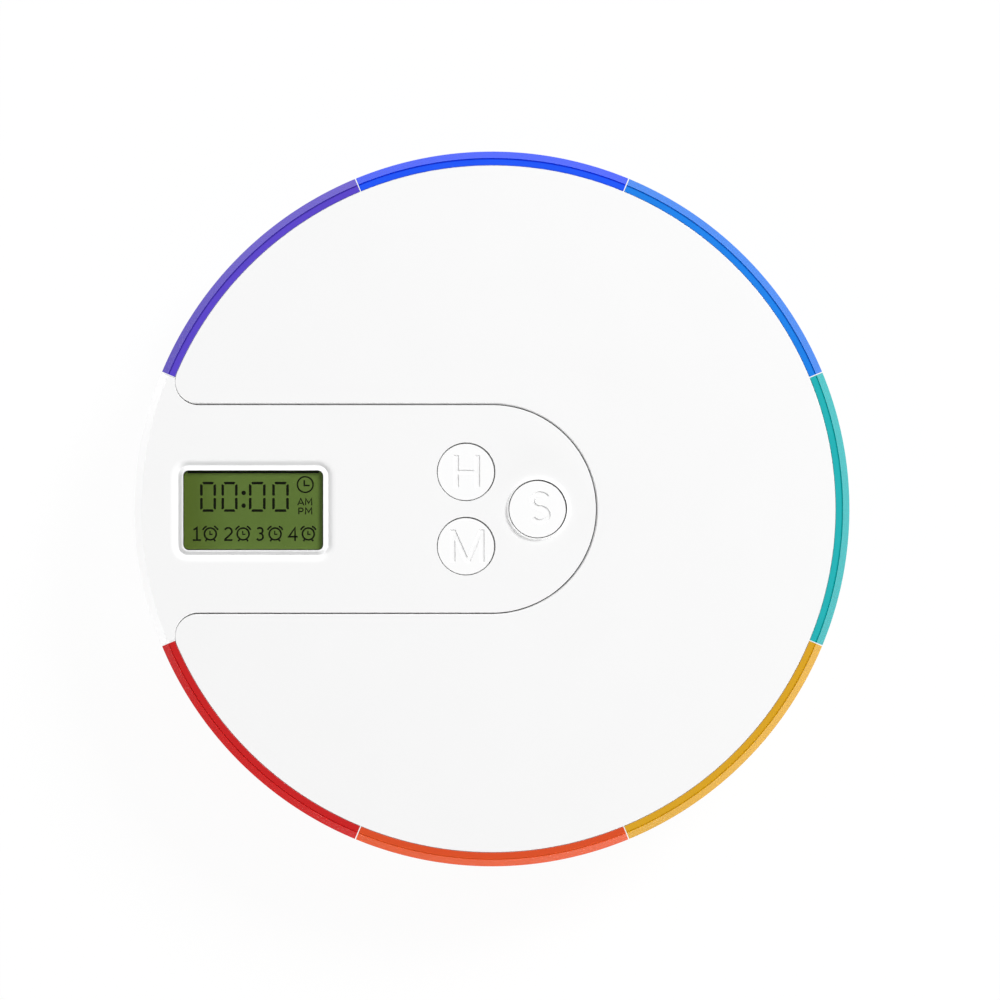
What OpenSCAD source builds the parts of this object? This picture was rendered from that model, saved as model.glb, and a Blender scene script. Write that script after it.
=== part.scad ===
/* [Case] */
// Outside diameter over the coloured ring
case_d = 160; // [150:1:175]
// Height from the table to the flat top
case_h = 30; // [29:0.5:36]
// Thickness of the base plate
base_t = 2; // [1.6:0.1:3]
// How far the base plate stays inside the ring
base_lip = 1.5; // [0.5:0.1:2.5]
// Thickness of the deck over the drawers
deck_t = 1.6; // [1.2:0.1:2]
// Thickness of the flat top of the cover
cover_t = 1.8; // [1.4:0.1:2.4]
// Thickness of the cover's side walls
cover_wall = 1.6; // [1.2:0.1:2.2]
// Thickness of the walls between the drawer bays
divider_t = 1.2; // [1:0.1:1.8]
// Outer radius of the ring wall round the hub
hub_r = 20.4; // [18:0.1:20.4]
// Thickness of the ring wall round the hub
hub_wall = 1.4; // [1:0.1:2]

/* [Ring] */
// Radial thickness of the drawer fronts and the timer's rim
ring_t = 3.2; // [2.8:0.1:4]
// Width and height of the sloping outer edge at the top
ring_slope = 1.7; // [1:0.1:2.2]
// Small slope at the ring's lower edge
ring_low_slope = 0.6; // [0.3:0.1:1]

/* [Drawers] */
// Thickness of the drawers' side walls
drawer_wall = 1.4; // [1:0.1:2]
// Thickness of the drawers' floor
drawer_floor = 1.5; // [1:0.1:2]
// Height of the runners under the floor
runner_h = 1.6; // [1.4:0.1:2]
// Thickness of the runners
runner_t = 1.2; // [1:0.1:2]
// Width of the guide post on the base
guide_w = 4; // [3:0.1:6]
// Length of the guide post
guide_len = 5; // [3:0.5:7]
// Distance of the post's inner face from the centre
guide_r = 66; // [60:0.5:66]
// Radius of the finger cut in the base's edge
finger_r = 8; // [6:0.5:9]

/* [Feet] */
// Radius of a rubber foot
foot_r = 5; // [4:0.5:7]
// Height of a foot below the base plate
foot_h = 1; // [0.6:0.1:1.6]
// Depth that a foot is let into the base plate
foot_sunk = 0.8; // [0.4:0.1:1]
// Distance of the feet from the centre
foot_ring_r = 60; // [50:1:66]

/* [Timer] */
// Width of the tongue in the cover's notch
tongue_w = 46.4; // [46:0.1:50]
// Height of the flat timer case
timer_h = 8.4; // [8.4:0.1:9.5]
// Thickness of the timer's top
timer_top_t = 1.6; // [1.4:0.1:2]
// Thickness of the timer's side walls
timer_wall = 1.6; // [1.4:0.1:1.8]
// Thickness of the timer's bottom plate
timer_back_t = 1.4; // [1.2:0.1:1.6]
// Radius of the cover's corners where the notch meets the ring
mouth_r = 4.9; // [3:0.1:6]
// Height of the rails in the cover's notch
rail_h = 1.2; // [1:0.1:1.4]
// How far the rails reach over the timer's edge
rail_reach = 0.8; // [0.6:0.1:1]

/* [Display] */
// Distance of the display's centre from the ring's inner edge
display_in = 23.4; // [22.8:0.1:24.8]
// Centre of the display along Y
display_y = -0.3; // [-1:0.1:1]
// Width of the display's window
window_w = 31.3; // [28:0.1:32]
// Height of the display's window
window_h = 17.8; // [15:0.1:19]
// Corner radius of the window
window_r = 1.2; // [0.6:0.1:2]
// Width of the raised frame round the window
frame_w = 1.0; // [0.6:0.1:1.2]
// Width of the sunk channel round the frame
moat_w = 2.05; // [1.5:0.05:2.4]
// Depth of the sunk channel
moat_d = 0.7; // [0.4:0.1:0.8]
// Depth of the window below the frame
window_sunk = 0.7; // [0.4:0.1:0.8]
// Thickness of the flange under the window
window_flange_t = 0.8; // [0.6:0.1:0.9]
// Thickness of the liquid crystal glass
lcd_t = 1.7; // [1.4:0.1:1.8]

/* [Buttons] */
// Radius of a button
button_r = 6.3; // [5.5:0.1:6.4]
// Travel of a button
button_travel = 0.5; // [0.3:0.1:0.6]
// Place of the hour and minute buttons along X
pair_x = -5.8; // [-7:0.1:-4]
// Distance of the hour and minute buttons from the middle line
pair_y = 8.3; // [7.9:0.1:9]
// Place of the set button along X
set_x = 10.2; // [10:0.1:11.5]
// Height of the raised collar round the set button
collar_h = 0.7; // [0.4:0.1:1]
// Width of the collar's slope
collar_w = 1.3; // [1:0.1:1.6]
// Thickness of a button's top
button_t = 2; // [1.8:0.1:2.1]
// Width of the hidden flange round a button
button_flange = 0.75; // [0.6:0.05:0.9]
// Side of a push switch
switch_w = 6; // [5:0.1:6.4]
// Radius of a push switch's plunger
plunger_r = 1.7; // [1.4:0.1:2]

/* [Battery] */
// Radius of the cell
cell_r = 5.25; // [5:0.05:5.25]
// Length of the cell over its nub
cell_len = 44.5; // [44:0.1:45]
// Length of the pressed spring
spring_len = 4.1; // [3.5:0.1:4.5]
// Thickness of the battery box's walls
box_wall = 1.8; // [1.6:0.1:1.8]
// Thickness of the battery door
door_t = 1.6; // [1.4:0.1:1.8]

/* [Fasteners] */
// Radius of a base screw's shank
base_screw_r = 1.25; // [1:0.05:1.5]
// Radius of a small screw's shank
small_screw_r = 1; // [0.8:0.05:1.1]
// Distance of the hub screws from the centre
hub_screw_r = 11; // [9:0.5:13]
// Distance of the cover screws from the centre
cover_screw_ring = 66; // [60:1:69]

/* [Clearances] */
// Gap between neighbouring fronts
front_gap = 0.3; // [0.3:0.05:0.5]
// Gap between the cover and the ring
ring_gap = 0.4; // [0.3:0.05:0.5]
// Gap round the timer in the cover's notch
slot_gap = 0.4; // [0.3:0.05:0.5]
// Gap beside a drawer's walls and its guide post
side_gap = 0.4; // [0.3:0.05:0.6]
// Gap above and below a piece that slides
run_gap = 0.3; // [0.25:0.05:0.4]
// Gap round a button in its hole
button_gap = 0.25; // [0.2:0.05:0.3]
// Gap between a screw and the pilot hole it sits in
pilot_gap = 0.05; // [0.05:0.01:0.1]

/* [Hidden] */
$fn = 72;
eps = 0.01;
big = 300;

// One drawer for each day of the week shares the circle evenly with the timer
drawer_names = ["violet", "blue", "azure", "teal", "amber", "orange", "red"];
sector = 360 / (len(drawer_names) + 1);
half_sector = sector / 2;
drawer_angles = [for (i = [1:len(drawer_names)]) 180 - sector * i];

case_r = case_d / 2;
ring_r = case_r - ring_t;
cover_r = ring_r - ring_gap;
base_r = case_r - base_lip;

z_base = foot_h;
z_floor = z_base + base_t;
z_runner = z_floor + run_gap;
z_tray = z_runner + runner_h;
z_timer = case_h - timer_h;
z_deck_top = z_timer - slot_gap;
z_deck = z_deck_top - deck_t;
z_wall = z_deck - run_gap;

// Each bay is a wedge, inset from the sector's edge by half a divider and a gap
bay_inset = divider_t / 2;
tub_inset = bay_inset + side_gap;
hub_gap = 0.6;
tub_r = hub_r + hub_gap;
guide_z = z_tray - run_gap;
groove_half = guide_w / 2 + side_gap;
groove_end = tub_r + drawer_wall + hub_gap;

// The timer: tongue, notch and the cavity inside
tongue_r = tongue_w / 2;
notch_r = tongue_r + slot_gap;
z_back = z_timer + timer_back_t;
z_ledge = z_back + rail_h + 2 * run_gap;
z_roof = case_h - timer_top_t;
cavity_r = tongue_r - timer_wall;
ledge_r = tongue_r - rail_reach - slot_gap;
ledge_in_r = ledge_r - timer_back_t;
rim_land = 2.3;
cavity_end = -(ring_r - rim_land);
rail_x0 = -(cover_r - mouth_r * 2);
rail_x1 = -2;
seam = 0.1;

// The circuit board and what stands on it
board_t = 1;
board_lift = 0.4;
board_gap = 0.8;
switch_h = 3;
z_board = z_back + board_lift;
z_board_top = z_board + board_t;
board_r = ledge_in_r - board_gap;
board_x0 = cavity_end + 2;
board_x1 = 16;
display_x = display_in - ring_r;
flange_w = 1.6;
z_flange = z_roof - window_flange_t;
z_lcd = z_flange - lcd_t;
lcd_margin = 1.8;
lcd_w = window_w + 2 * lcd_margin;
lcd_h = window_h + 2 * lcd_margin;
zebra_w = 1.8;
zebra_in = 0.8;
holder_w = 3.4;

// What stands on the board is placed from the inner end of the glass and the board's edge
lcd_x1 = display_x + lcd_w / 2;
chip_w = 7;
chip_t = 1.4;
chip_leg_pitch = 0.9;
chip_leg_w = 0.4;
chip_x = lcd_x1 + 11.45;
chip_y = -8.5;
buzzer_r = 6;
buzzer_x = lcd_x1 + 10.45;
buzzer_y = 7.5;
buzzer_hole_r = 1;
crystal_len = 6;
crystal_r = 1;
crystal_x = lcd_x1 + 18.95;
crystal_y = -board_r + 4.3;
chip_row_x = lcd_x1 + 4.45;
chip_row_pitch = 3.2;
chip_row_y = [board_r - 3.8, -board_r + 2.3];
small_chip = [1.8, 1.1, 0.8];

// Buttons: [x, y, top] of each
button_hole_r = button_r + button_gap;
hour_at = [pair_x, pair_y, case_h];
minute_at = [pair_x, -pair_y, case_h];
set_at = [set_x, 0, case_h + collar_h];
z_flange_top = z_roof - 0.1;
flange_t = 0.8;
z_switch = z_board_top + switch_h;
plunger_gap = 0.1;
plunger_in = 0.4;

// Battery box: one cell along X under the timer, in the empty sector
cell_gap = 0.3;
z_door = z_base + 0.2;
z_door_top = z_door + door_t;
z_cell = z_door_top + run_gap + cell_r;
cell_room = cell_r + cell_gap;
z_box_roof = z_cell + cell_room;
box_roof_t = 1.4;
box_half = cell_room + box_wall;
plate_t = 0.4;
box_end_wall = 1.4;
box_x0 = cavity_end - 0.7 + box_end_wall;
box_x1 = box_x0 + cell_len + spring_len + 2 * plate_t;
box_slot = box_half + slot_gap;
box_slot_x = box_x1 + box_end_wall + slot_gap;
door_half = cell_room - 0.2;
door_tongue = 0.9;
door_tongue_t = 0.6;
door_x1 = box_x1 - run_gap;
tab_half = 1.25;
z_tab = z_box_roof + box_roof_t + 1.2;
tab_out = 1.2;
lead_r = 0.5;
lead_gap = 0.15;
lead_bow = 1.5;
nub_r = 1.9;
nub_h = 0.8;
spring_wire = 0.45;
spring_r = 3.4;

// Screw places
base_boss_r = 4.2;
deck_boss_r = 3.2;
base_seat_t = 3.6;
z_boss_seam = (z_floor + z_deck) / 2 + 1;
z_base_seat = z_boss_seam - base_seat_t;
base_head_r = 2.6;
base_head_h = 1.9;
bay_screw = [-60, 17];
base_screws = concat(
    [for (i = [0:3]) hub_screw_r * [cos(45 + 90 * i), sin(45 + 90 * i)]],
    [for (s = [-1, 1]) [bay_screw[0], s * bay_screw[1]]]);
cover_screws_at = [for (a = [-130, -80, -30, 30, 80, 130])
    cover_screw_ring * [cos(a), sin(a)]];
rim_screw_x = cavity_end + 7.5;
rim_screw_y = cavity_r - 3.6;
end_screw_x = board_x1 - 4.5;
end_screw_y = 13.5;
timer_screws_at = [for (p = [[rim_screw_x, rim_screw_y], [end_screw_x, end_screw_y]])
    for (s = [-1, 1]) [p[0], s * p[1]]];
cover_boss_r = 3;
timer_boss_r = 2.4;
csk_r = 2.1;
csk_h = 1.1;

// A plan in the XY plane raised from z0 to z1
module slab(z0, z1) {
    translate([0, 0, z0]) linear_extrude(z1 - z0) children();
}

// A solid or bored round post
module post(r, z0, z1) {
    translate([0, 0, z0]) cylinder(r = r, h = z1 - z0);
}

// A flat ring between two radii
module ring(r_in, r_out) {
    difference() {
        circle(r_out, $fn = 180);
        circle(r_in, $fn = 180);
    }
}

// One eighth of the plan about +X, with its straight sides moved in by inset
module wedge(inset) {
    apex = inset / sin(half_sector);
    polygon([
        [apex, 0],
        [apex + big * cos(half_sector), -big * sin(half_sector)],
        [apex + big * cos(half_sector), big * sin(half_sector)]
    ]);
}

// A rectangle with round corners, centred
module round_rect(w, h, r) {
    square([w - 2 * r, h], center = true);
    square([w, h - 2 * r], center = true);
    for (x = [-1, 1], y = [-1, 1])
        translate([x * (w / 2 - r), y * (h / 2 - r)]) circle(r);
}

// A tongue that runs from x0 to a half-round end of radius r at the centre
module tongue(r, x0) {
    translate([x0, -r]) square([-x0, 2 * r]);
    circle(r, $fn = 120);
}

// The cover's plan, grown by an even amount all round
module cover_plan(grow) {
    r = cover_r + grow;
    n = notch_r - grow;
    c = mouth_r + grow;
    cx = -sqrt((r - c) * (r - c) - (n + c) * (n + c));
    k = r / (r - c);
    difference() {
        circle(r, $fn = 180);
        tongue(n, -big);
        for (s = [-1, 1])
            difference() {
                polygon([
                    [cx, s * (n + c)],
                    [cx, s * (n - eps)],
                    [-big, s * (n - eps)],
                    [-big, s * (n + c) * big / -cx],
                    [cx * k, s * (n + c) * k]
                ]);
                translate([cx, s * (n + c)]) circle(c);
            }
    }
}

// The plan of the timer's top: the tongue and its part of the ring, up to past the rim
module timer_plan() {
    difference() {
        union() {
            mirror([1, 0]) wedge(front_gap / 2);
            translate([-big, -tongue_r - 1]) square([big + tongue_r + 1, 2 * tongue_r + 2]);
        }
        cover_plan(slot_gap);
    }
}

// The ring's body of revolution between two heights, with its sloping edges
module ring_body(r_in, z0, z1) {
    rotate_extrude($fn = 180)
        polygon([
            [r_in, z0],
            [case_r - ring_low_slope, z0],
            [case_r, z0 + ring_low_slope],
            [case_r, z1 - ring_slope],
            [case_r - ring_slope, z1],
            [r_in, z1]
        ]);
}

// A countersunk self-tapping screw, pointing up, with its head's face at z = 0
module flat_screw(length) {
    difference() {
        union() {
            cylinder(r1 = csk_r, r2 = small_screw_r, h = csk_h);
            post(small_screw_r, csk_h - eps, length);
        }
        cross_slot(csk_r, 0.7);
    }
}

// The cross in a screw's head
module cross_slot(head_r, depth) {
    for (a = [0, 90])
        rotate(a) translate([-head_r * 0.55, -0.3, -eps]) cube([head_r * 1.1, 0.6, depth]);
}

// The hole for a countersunk screw in a plate that starts at z = 0
module flat_screw_hole(thickness) {
    translate([0, 0, -eps]) cylinder(r1 = csk_r + 0.15, r2 = small_screw_r + 0.15, h = csk_h + 0.1);
    post(small_screw_r + 0.15, 0, thickness + eps);
}

// A round tube swept along points by functions, as one closed polyhedron
function unit(v) = v / norm(v);
function run_of(p, i) = unit(p[min(i + 1, len(p) - 1)] - p[max(i - 1, 0)]);
function side_of(t) = unit(cross(t, abs(t[1]) > 0.9 ? [1, 0, 0] : [0, 1, 0]));
function hoop(p, i, r, n) =
    let (t = run_of(p, i), a = side_of(t), b = cross(t, a))
    [for (k = [0:n - 1]) p[i] + r * (cos(360 * k / n) * a + sin(360 * k / n) * b)];
module tube(p, r, n = 8) {
    count = len(p);
    polyhedron(
        points = [for (i = [0:count - 1]) each hoop(p, i, r, n)],
        faces = concat(
            [[for (k = [0:n - 1]) k]],
            [for (i = [0:count - 2], k = [0:n - 1]) let (m = (k + 1) % n)
                [i * n + k, (i + 1) * n + k, i * n + m]],
            [for (i = [0:count - 2], k = [0:n - 1]) let (m = (k + 1) % n)
                [(i + 1) * n + k, (i + 1) * n + m, i * n + m]],
            [[for (k = [n - 1:-1:0]) (count - 1) * n + k]]));
}

// The plan of the hub's ring wall and the eight walls between the bays
module bay_walls() {
    intersection() {
        difference() {
            union() {
                circle(hub_r);
                for (i = [0:3])
                    rotate(half_sector + sector * i) square([2 * cover_r, divider_t], center = true);
            }
            circle(hub_r - hub_wall);
        }
        circle(cover_r - 0.2, $fn = 180);
    }
}

// The base: floor plate, hub, walls between the bays, guide posts and screw posts
module base_tray() {
    color("#f4f4f2") difference() {
        union() {
            difference() {
                post(base_r, z_base, z_floor, $fn = 180);
                for (a = drawer_angles)
                    rotate(a) translate([case_r + 1, 0, 0]) post(finger_r, 0, z_floor + 1);
            }
            slab(z_floor - eps, z_deck) bay_walls();
            for (a = drawer_angles)
                rotate(a) translate([guide_r, -guide_w / 2, z_floor - eps])
                    cube([guide_len, guide_w, guide_z - z_floor + eps]);
            for (p = base_screws)
                translate(p) post(base_boss_r, z_floor - eps, z_boss_seam);
        }
        for (p = base_screws)
            translate(p) {
                post(base_screw_r + 0.2, 0, z_boss_seam + 1);
                post(base_head_r + 0.3, 0, z_base_seat);
            }
        for (i = [0:3])
            rotate(45 + 90 * i) translate([foot_ring_r, 0, 0])
                post(foot_r + 0.1, 0, z_base + foot_sunk);
        translate([-big, -box_slot, 0]) cube([big + box_slot_x, 2 * box_slot, z_deck + 1]);
    }
}

// Four rubber feet, let into the base plate
module rubber_feet() {
    color("#8c8c8c")
        for (i = [0:3])
            rotate(45 + 90 * i) translate([foot_ring_r, 0, 0])
                post(foot_r, 0, z_base + foot_sunk);
}

// The deck: ceiling of the drawers and floor of the timer's notch
module mid_deck() {
    color("#efefed") difference() {
        union() {
            post(cover_r - 0.2, z_deck, z_deck_top, $fn = 180);
            for (p = base_screws)
                translate(p) post(deck_boss_r, z_boss_seam, z_deck + eps);
        }
        for (p = base_screws)
            translate(p) post(base_screw_r + pilot_gap, 0, z_deck_top - 0.8);
        for (p = cover_screws_at)
            translate([p[0], p[1], z_deck]) flat_screw_hole(deck_t);
        translate([-big, -box_slot, z_deck - 1])
            cube([big + box_slot_x, 2 * box_slot, deck_t + 2]);
    }
}

// The white cover with the notch for the timer and the rails in it
module top_cover() {
    color("#fbfbfa") difference() {
        union() {
            slab(case_h - cover_t, case_h) cover_plan(0);
            slab(z_deck_top, case_h - cover_t + eps) difference() {
                cover_plan(0);
                cover_plan(-cover_wall);
            }
            for (s = [-1, 1])
                translate([rail_x0, s > 0 ? notch_r - rail_reach : -notch_r - eps, z_back + run_gap])
                    cube([rail_x1 - rail_x0, rail_reach + eps, rail_h]);
            for (p = cover_screws_at)
                translate(p) post(cover_boss_r, z_deck_top, case_h - cover_t + eps);
        }
        for (p = cover_screws_at)
            translate(p) post(small_screw_r + pilot_gap, z_deck_top - 1, case_h - cover_t - 0.4);
    }
}

// Screws from below through the base's posts into the deck
module base_screws() {
    color("#b8bcc0")
        for (p = base_screws)
            translate([p[0], p[1], z_base_seat - base_head_h]) difference() {
                union() {
                    post(base_head_r, 0, base_head_h);
                    post(base_screw_r, base_head_h - eps, z_deck - z_base_seat + base_head_h);
                }
                cross_slot(base_head_r, 1);
            }
}

// Screws from below through the deck into the cover
module cover_screws() {
    color("#b8bcc0")
        for (p = cover_screws_at)
            translate([p[0], p[1], z_deck + 0.05])
                flat_screw(case_h - cover_t - z_deck - 1);
}

// One drawer about +X: curved front, tub, and runners with an end stop
module drawer() {
    intersection() {
        ring_body(ring_r, z_runner, case_h);
        slab(0, big) wedge(front_gap / 2);
    }
    difference() {
        slab(z_tray, z_wall) intersection() {
            ring(tub_r, ring_r + eps);
            wedge(tub_inset);
        }
        slab(z_tray + drawer_floor, z_wall + 1) intersection() {
            ring(tub_r + drawer_wall, ring_r);
            wedge(tub_inset + drawer_wall);
        }
    }
    for (s = [-1, 1])
        translate([groove_end, s > 0 ? groove_half : -groove_half - runner_t, z_runner])
            cube([ring_r - groove_end + 0.4, runner_t, runner_h + eps]);
    translate([groove_end, -groove_half - runner_t, z_runner])
        cube([runner_t, 2 * (groove_half + runner_t), runner_h + eps]);
}
module placed_drawer(i) {
    rotate(drawer_angles[i]) drawer();
}
module drawer_violet() { color("#5c48c3") placed_drawer(0); }
module drawer_blue() { color("#2355fc") placed_drawer(1); }
module drawer_azure() { color("#2e84f5") placed_drawer(2); }
module drawer_teal() { color("#2ab2b2") placed_drawer(3); }
module drawer_amber() { color("#d89e34") placed_drawer(4); }
module drawer_orange() { color("#d6522a") placed_drawer(5); }
module drawer_red() { color("#c32726") placed_drawer(6); }

// The timer's top: flat tongue, rim wall, display frame, button holes and collar
module timer_top_shell() {
    frame_out = 2 * frame_w;
    moat_out = frame_out + 2 * moat_w;
    color("#f8f8f7") difference() {
        union() {
            difference() {
                intersection() {
                    ring_body(0, z_runner, case_h);
                    union() {
                        slab(z_ledge, case_h + 1) timer_plan();
                        slab(0, z_ledge) difference() {
                            mirror([1, 0]) wedge(front_gap / 2);
                            circle(ring_r, $fn = 180);
                        }
                    }
                }
                slab(z_ledge - 1, z_roof) tongue_cavity(cavity_r, cavity_end);
            }
            translate([set_at[0], set_at[1], case_h - eps])
                cylinder(r1 = button_hole_r + collar_w, r2 = button_hole_r + 0.35,
                    h = collar_h + eps);
            for (p = timer_screws_at)
                translate(p) post(timer_boss_r, z_board_top, z_roof + eps);
        }
        translate([display_x, display_y, 0]) {
            slab(case_h - moat_d, case_h + 1) difference() {
                round_rect(window_w + moat_out, window_h + moat_out, window_r + 2.3);
                round_rect(window_w + frame_out, window_h + frame_out, window_r + 0.8);
            }
            slab(z_roof - 1, case_h + 1) round_rect(window_w, window_h, window_r);
        }
        for (b = [hour_at, minute_at, set_at])
            translate([b[0], b[1], 0]) post(button_hole_r, z_roof - 1, case_h + 2);
        for (p = timer_screws_at)
            translate(p) post(small_screw_r + pilot_gap, z_board_top - 1, z_roof - 0.5);
    }
}

// A tongue's inside, cut off straight at x0 and kept inside the ring
module tongue_cavity(r, x0) {
    intersection() {
        tongue(r, x0);
        circle(ring_r, $fn = 180);
    }
}

// The timer's bottom: plate, inset ledge for the rails, and the battery box
module timer_back_shell() {
    color("#ececea") difference() {
        union() {
            slab(z_timer, z_back) intersection() {
                tongue(tongue_r, -big);
                circle(ring_r - seam, $fn = 180);
            }
            slab(z_back - eps, z_ledge) difference() {
                tongue_cavity(ledge_r, cavity_end - timer_back_t);
                tongue_cavity(ledge_in_r, cavity_end);
            }
            for (p = timer_screws_at)
                translate(p) post(timer_boss_r, z_back - eps, z_board);
            translate([box_x0 - box_end_wall, -box_half, z_door])
                cube([box_x1 - box_x0 + 2 * box_end_wall, 2 * box_half, z_timer - z_door + eps]);
        }
        box_room(z_door - 1, z_box_roof);
        box_room(z_box_roof + box_roof_t, z_back + 1);
        translate([-big, -cell_room, z_door - 1])
            cube([big + box_x1, 2 * cell_room, door_t + run_gap + 1]);
        translate([-big, -cell_room - door_tongue, z_door + (door_t - door_tongue_t) / 2 - run_gap])
            cube([big + box_x1, 2 * (cell_room + door_tongue), door_tongue_t + 2 * run_gap]);
        for (x = [box_x0, box_x1 - plate_t])
            translate([x - 0.1, -tab_half - 0.2, z_box_roof - 1])
                cube([plate_t + 0.2, 2 * tab_half + 0.4, box_roof_t + 2]);
        for (p = timer_screws_at)
            translate([p[0], p[1], z_timer]) flat_screw_hole(z_board - z_timer);
    }
}

// The battery box's inside between two heights
module box_room(z0, z1) {
    translate([box_x0, -cell_room, z0]) cube([box_x1 - box_x0, 2 * cell_room, z1 - z0]);
}

// Screws from below through the bottom and the board into the top
module timer_screws() {
    color("#b8bcc0")
        for (p = timer_screws_at)
            translate([p[0], p[1], z_timer + 0.05]) flat_screw(z_roof - z_timer - 1);
}

// The clear window with the flange that holds it from below
module display_window() {
    color([0.92, 0.95, 0.9, 0.4]) translate([display_x, display_y, 0]) {
        slab(z_roof - eps, case_h - window_sunk) round_rect(window_w - 0.2, window_h - 0.2, window_r - 0.1);
        slab(z_flange, z_roof)
            round_rect(window_w + 2 * flange_w, window_h + 2 * flange_w, window_r + 0.4);
    }
}

// The liquid crystal glass
module lcd_panel() {
    color("#5f7f3a") translate([display_x, display_y, 0])
        slab(z_lcd, z_flange) square([lcd_w, lcd_h], center = true);
}

// The frame that carries the glass over the board
module lcd_holder() {
    color("#e8e8e4") translate([display_x, display_y, 0])
        slab(z_board_top, z_lcd) difference() {
            square([lcd_w, lcd_h], center = true);
            square([lcd_w - 2 * holder_w, lcd_h - 2 * holder_w], center = true);
            translate([0, lcd_h / 2 - zebra_w / 2 - zebra_in])
                square([window_w + 0.4, zebra_w + 0.2], center = true);
        }
}

// The rubber contact strip between glass and board
module zebra_strip() {
    color("#3a3a3a") translate([display_x, display_y + lcd_h / 2 - zebra_w / 2 - zebra_in, 0])
        slab(z_board_top, z_lcd) square([window_w, zebra_w], center = true);
}

// The circuit board, held between the posts of both shells
module circuit_board() {
    color("#2f7a46") slab(z_board, z_board_top) difference() {
        intersection() {
            tongue(board_r, board_x0);
            translate([board_x0, -board_r]) square([board_x1 - board_x0, 2 * board_r]);
        }
        for (p = timer_screws_at)
            translate(p) circle(small_screw_r + 0.3);
    }
}

// The flat packaged controller
module controller_chip() {
    color("#262626") translate([chip_x, chip_y, 0]) {
        slab(z_board_top, z_board_top + chip_t) square(chip_w, center = true);
        for (a = [0, 90, 180, 270], i = [-3:3])
            rotate(a) translate([chip_w / 2 - eps, i * chip_leg_pitch - chip_leg_w / 2, z_board_top])
                cube([1, chip_leg_w, 0.3]);
    }
}

// The clock crystal: a can lying on the board, with its two wires
module crystal() {
    color("#c9ccd0") translate([crystal_x, crystal_y, z_board_top + crystal_r]) rotate([0, 90, 0]) {
        cylinder(r = crystal_r, h = crystal_len);
        for (s = [-1, 1])
            translate([crystal_r - 0.15, s * 0.4, -1.4]) cylinder(r = 0.15, h = 1.4 + eps, $fn = 24);
    }
}

// Small chip resistors and capacitors in two rows
module small_components() {
    color("#8a6f4d")
        for (i = [0:3], y = chip_row_y)
            translate([chip_row_x + chip_row_pitch * i, y, z_board_top]) cube(small_chip);
}

// The round sounder
module buzzer() {
    color("#1f1f1f") translate([buzzer_x, buzzer_y, 0]) difference() {
        post(buzzer_r, z_board_top, z_roof - 0.4);
        post(buzzer_hole_r, z_roof - 1.6, z_roof);
    }
}

// A push switch under the button at place b
module push_switch(b) {
    translate([b[0], b[1], 0]) difference() {
        slab(z_board_top, z_switch) square(switch_w, center = true);
        post(plunger_r + plunger_gap, z_switch - plunger_in - button_travel - 0.3, z_switch + 1);
    }
}
module hour_switch() { color("#4a4a4c") push_switch(hour_at); }
module minute_switch() { color("#4a4a4c") push_switch(minute_at); }
module set_switch() { color("#4a4a4c") push_switch(set_at); }

// A round button with the flange that keeps it under the top
module button(b) {
    translate([b[0], b[1], 0]) {
        post(button_r, case_h - button_t, b[2]);
        difference() {
            post(button_r + button_flange, z_flange_top - flange_t, z_flange_top);
            post(button_r - 1.2, 0, case_h - button_t);
        }
    }
}
module hour_button() { color("#fdfdfd") button(hour_at); }
module minute_button() { color("#fdfdfd") button(minute_at); }
module set_button() { color("#fdfdfd") button(set_at); }

// A switch's plunger, which goes down with its button
module plunger(b) {
    translate([b[0], b[1], 0]) post(plunger_r, z_switch - plunger_in, case_h - button_t);
}
module hour_plunger() { color("#d9d9d6") plunger(hour_at); }
module minute_plunger() { color("#d9d9d6") plunger(minute_at); }
module set_plunger() { color("#d9d9d6") plunger(set_at); }

// The door under the cell, which slides out below the rim
module battery_door() {
    tongue_z = z_door + (door_t - door_tongue_t) / 2;
    color("#ececea") difference() {
        intersection() {
            union() {
                slab(z_door, z_door_top)
                    translate([-big, -door_half]) square([big + door_x1, 2 * door_half]);
                slab(tongue_z, tongue_z + door_tongue_t)
                    translate([-big, -door_half - door_tongue])
                        square([big + door_x1, 2 * (door_half + door_tongue)]);
            }
            post(base_r, z_door - 1, z_door_top + 1, $fn = 180);
        }
        for (i = [0:3])
            translate([-base_r + 3 + 1.6 * i, -door_half + 1, z_door - eps])
                cube([0.8, 2 * door_half - 2, 0.4]);
    }
}

// The cell: can and nub, with the nub towards the rim
module battery_cell() {
    x0 = box_x0 + plate_t;
    color("#3c6fae") translate([x0, 0, z_cell]) rotate([0, 90, 0]) {
        cylinder(r = nub_r, h = nub_h + eps);
        translate([0, 0, nub_h]) cylinder(r = cell_r, h = cell_len - nub_h);
    }
}

// The coil spring at the cell's flat end
module battery_spring() {
    turns = 3;
    steps = 14;
    x0 = box_x1 - plate_t - spring_len + spring_wire + 0.05;
    pitch = (spring_len - 2 * spring_wire - 0.1) / turns;
    color("#c4c7ca")
        tube([for (i = [0:turns * steps]) let (a = 360 * i / steps, r = spring_r - 0.5 * a / 360)
            [x0 + pitch * i / steps, r * cos(a), z_cell + r * sin(a)]], spring_wire);
}

// The two end plates with their solder tabs up through the box's roof
module contact_plates() {
    color("#c9c9c2")
        for (e = [[box_x0, 1], [box_x1 - plate_t, -1]]) {
            translate([e[0], -cell_r + 1, z_cell - cell_r + 1])
                cube([plate_t, 2 * cell_r - 2, z_box_roof - z_cell + cell_r - 1]);
            translate([e[0], -tab_half, z_box_roof - eps])
                cube([plate_t, 2 * tab_half, z_tab - z_box_roof + eps]);
            translate([e[1] > 0 ? e[0] : e[0] + plate_t - tab_out - plate_t, -tab_half, z_tab - plate_t])
                cube([tab_out + plate_t, 2 * tab_half, plate_t]);
        }
}

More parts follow.
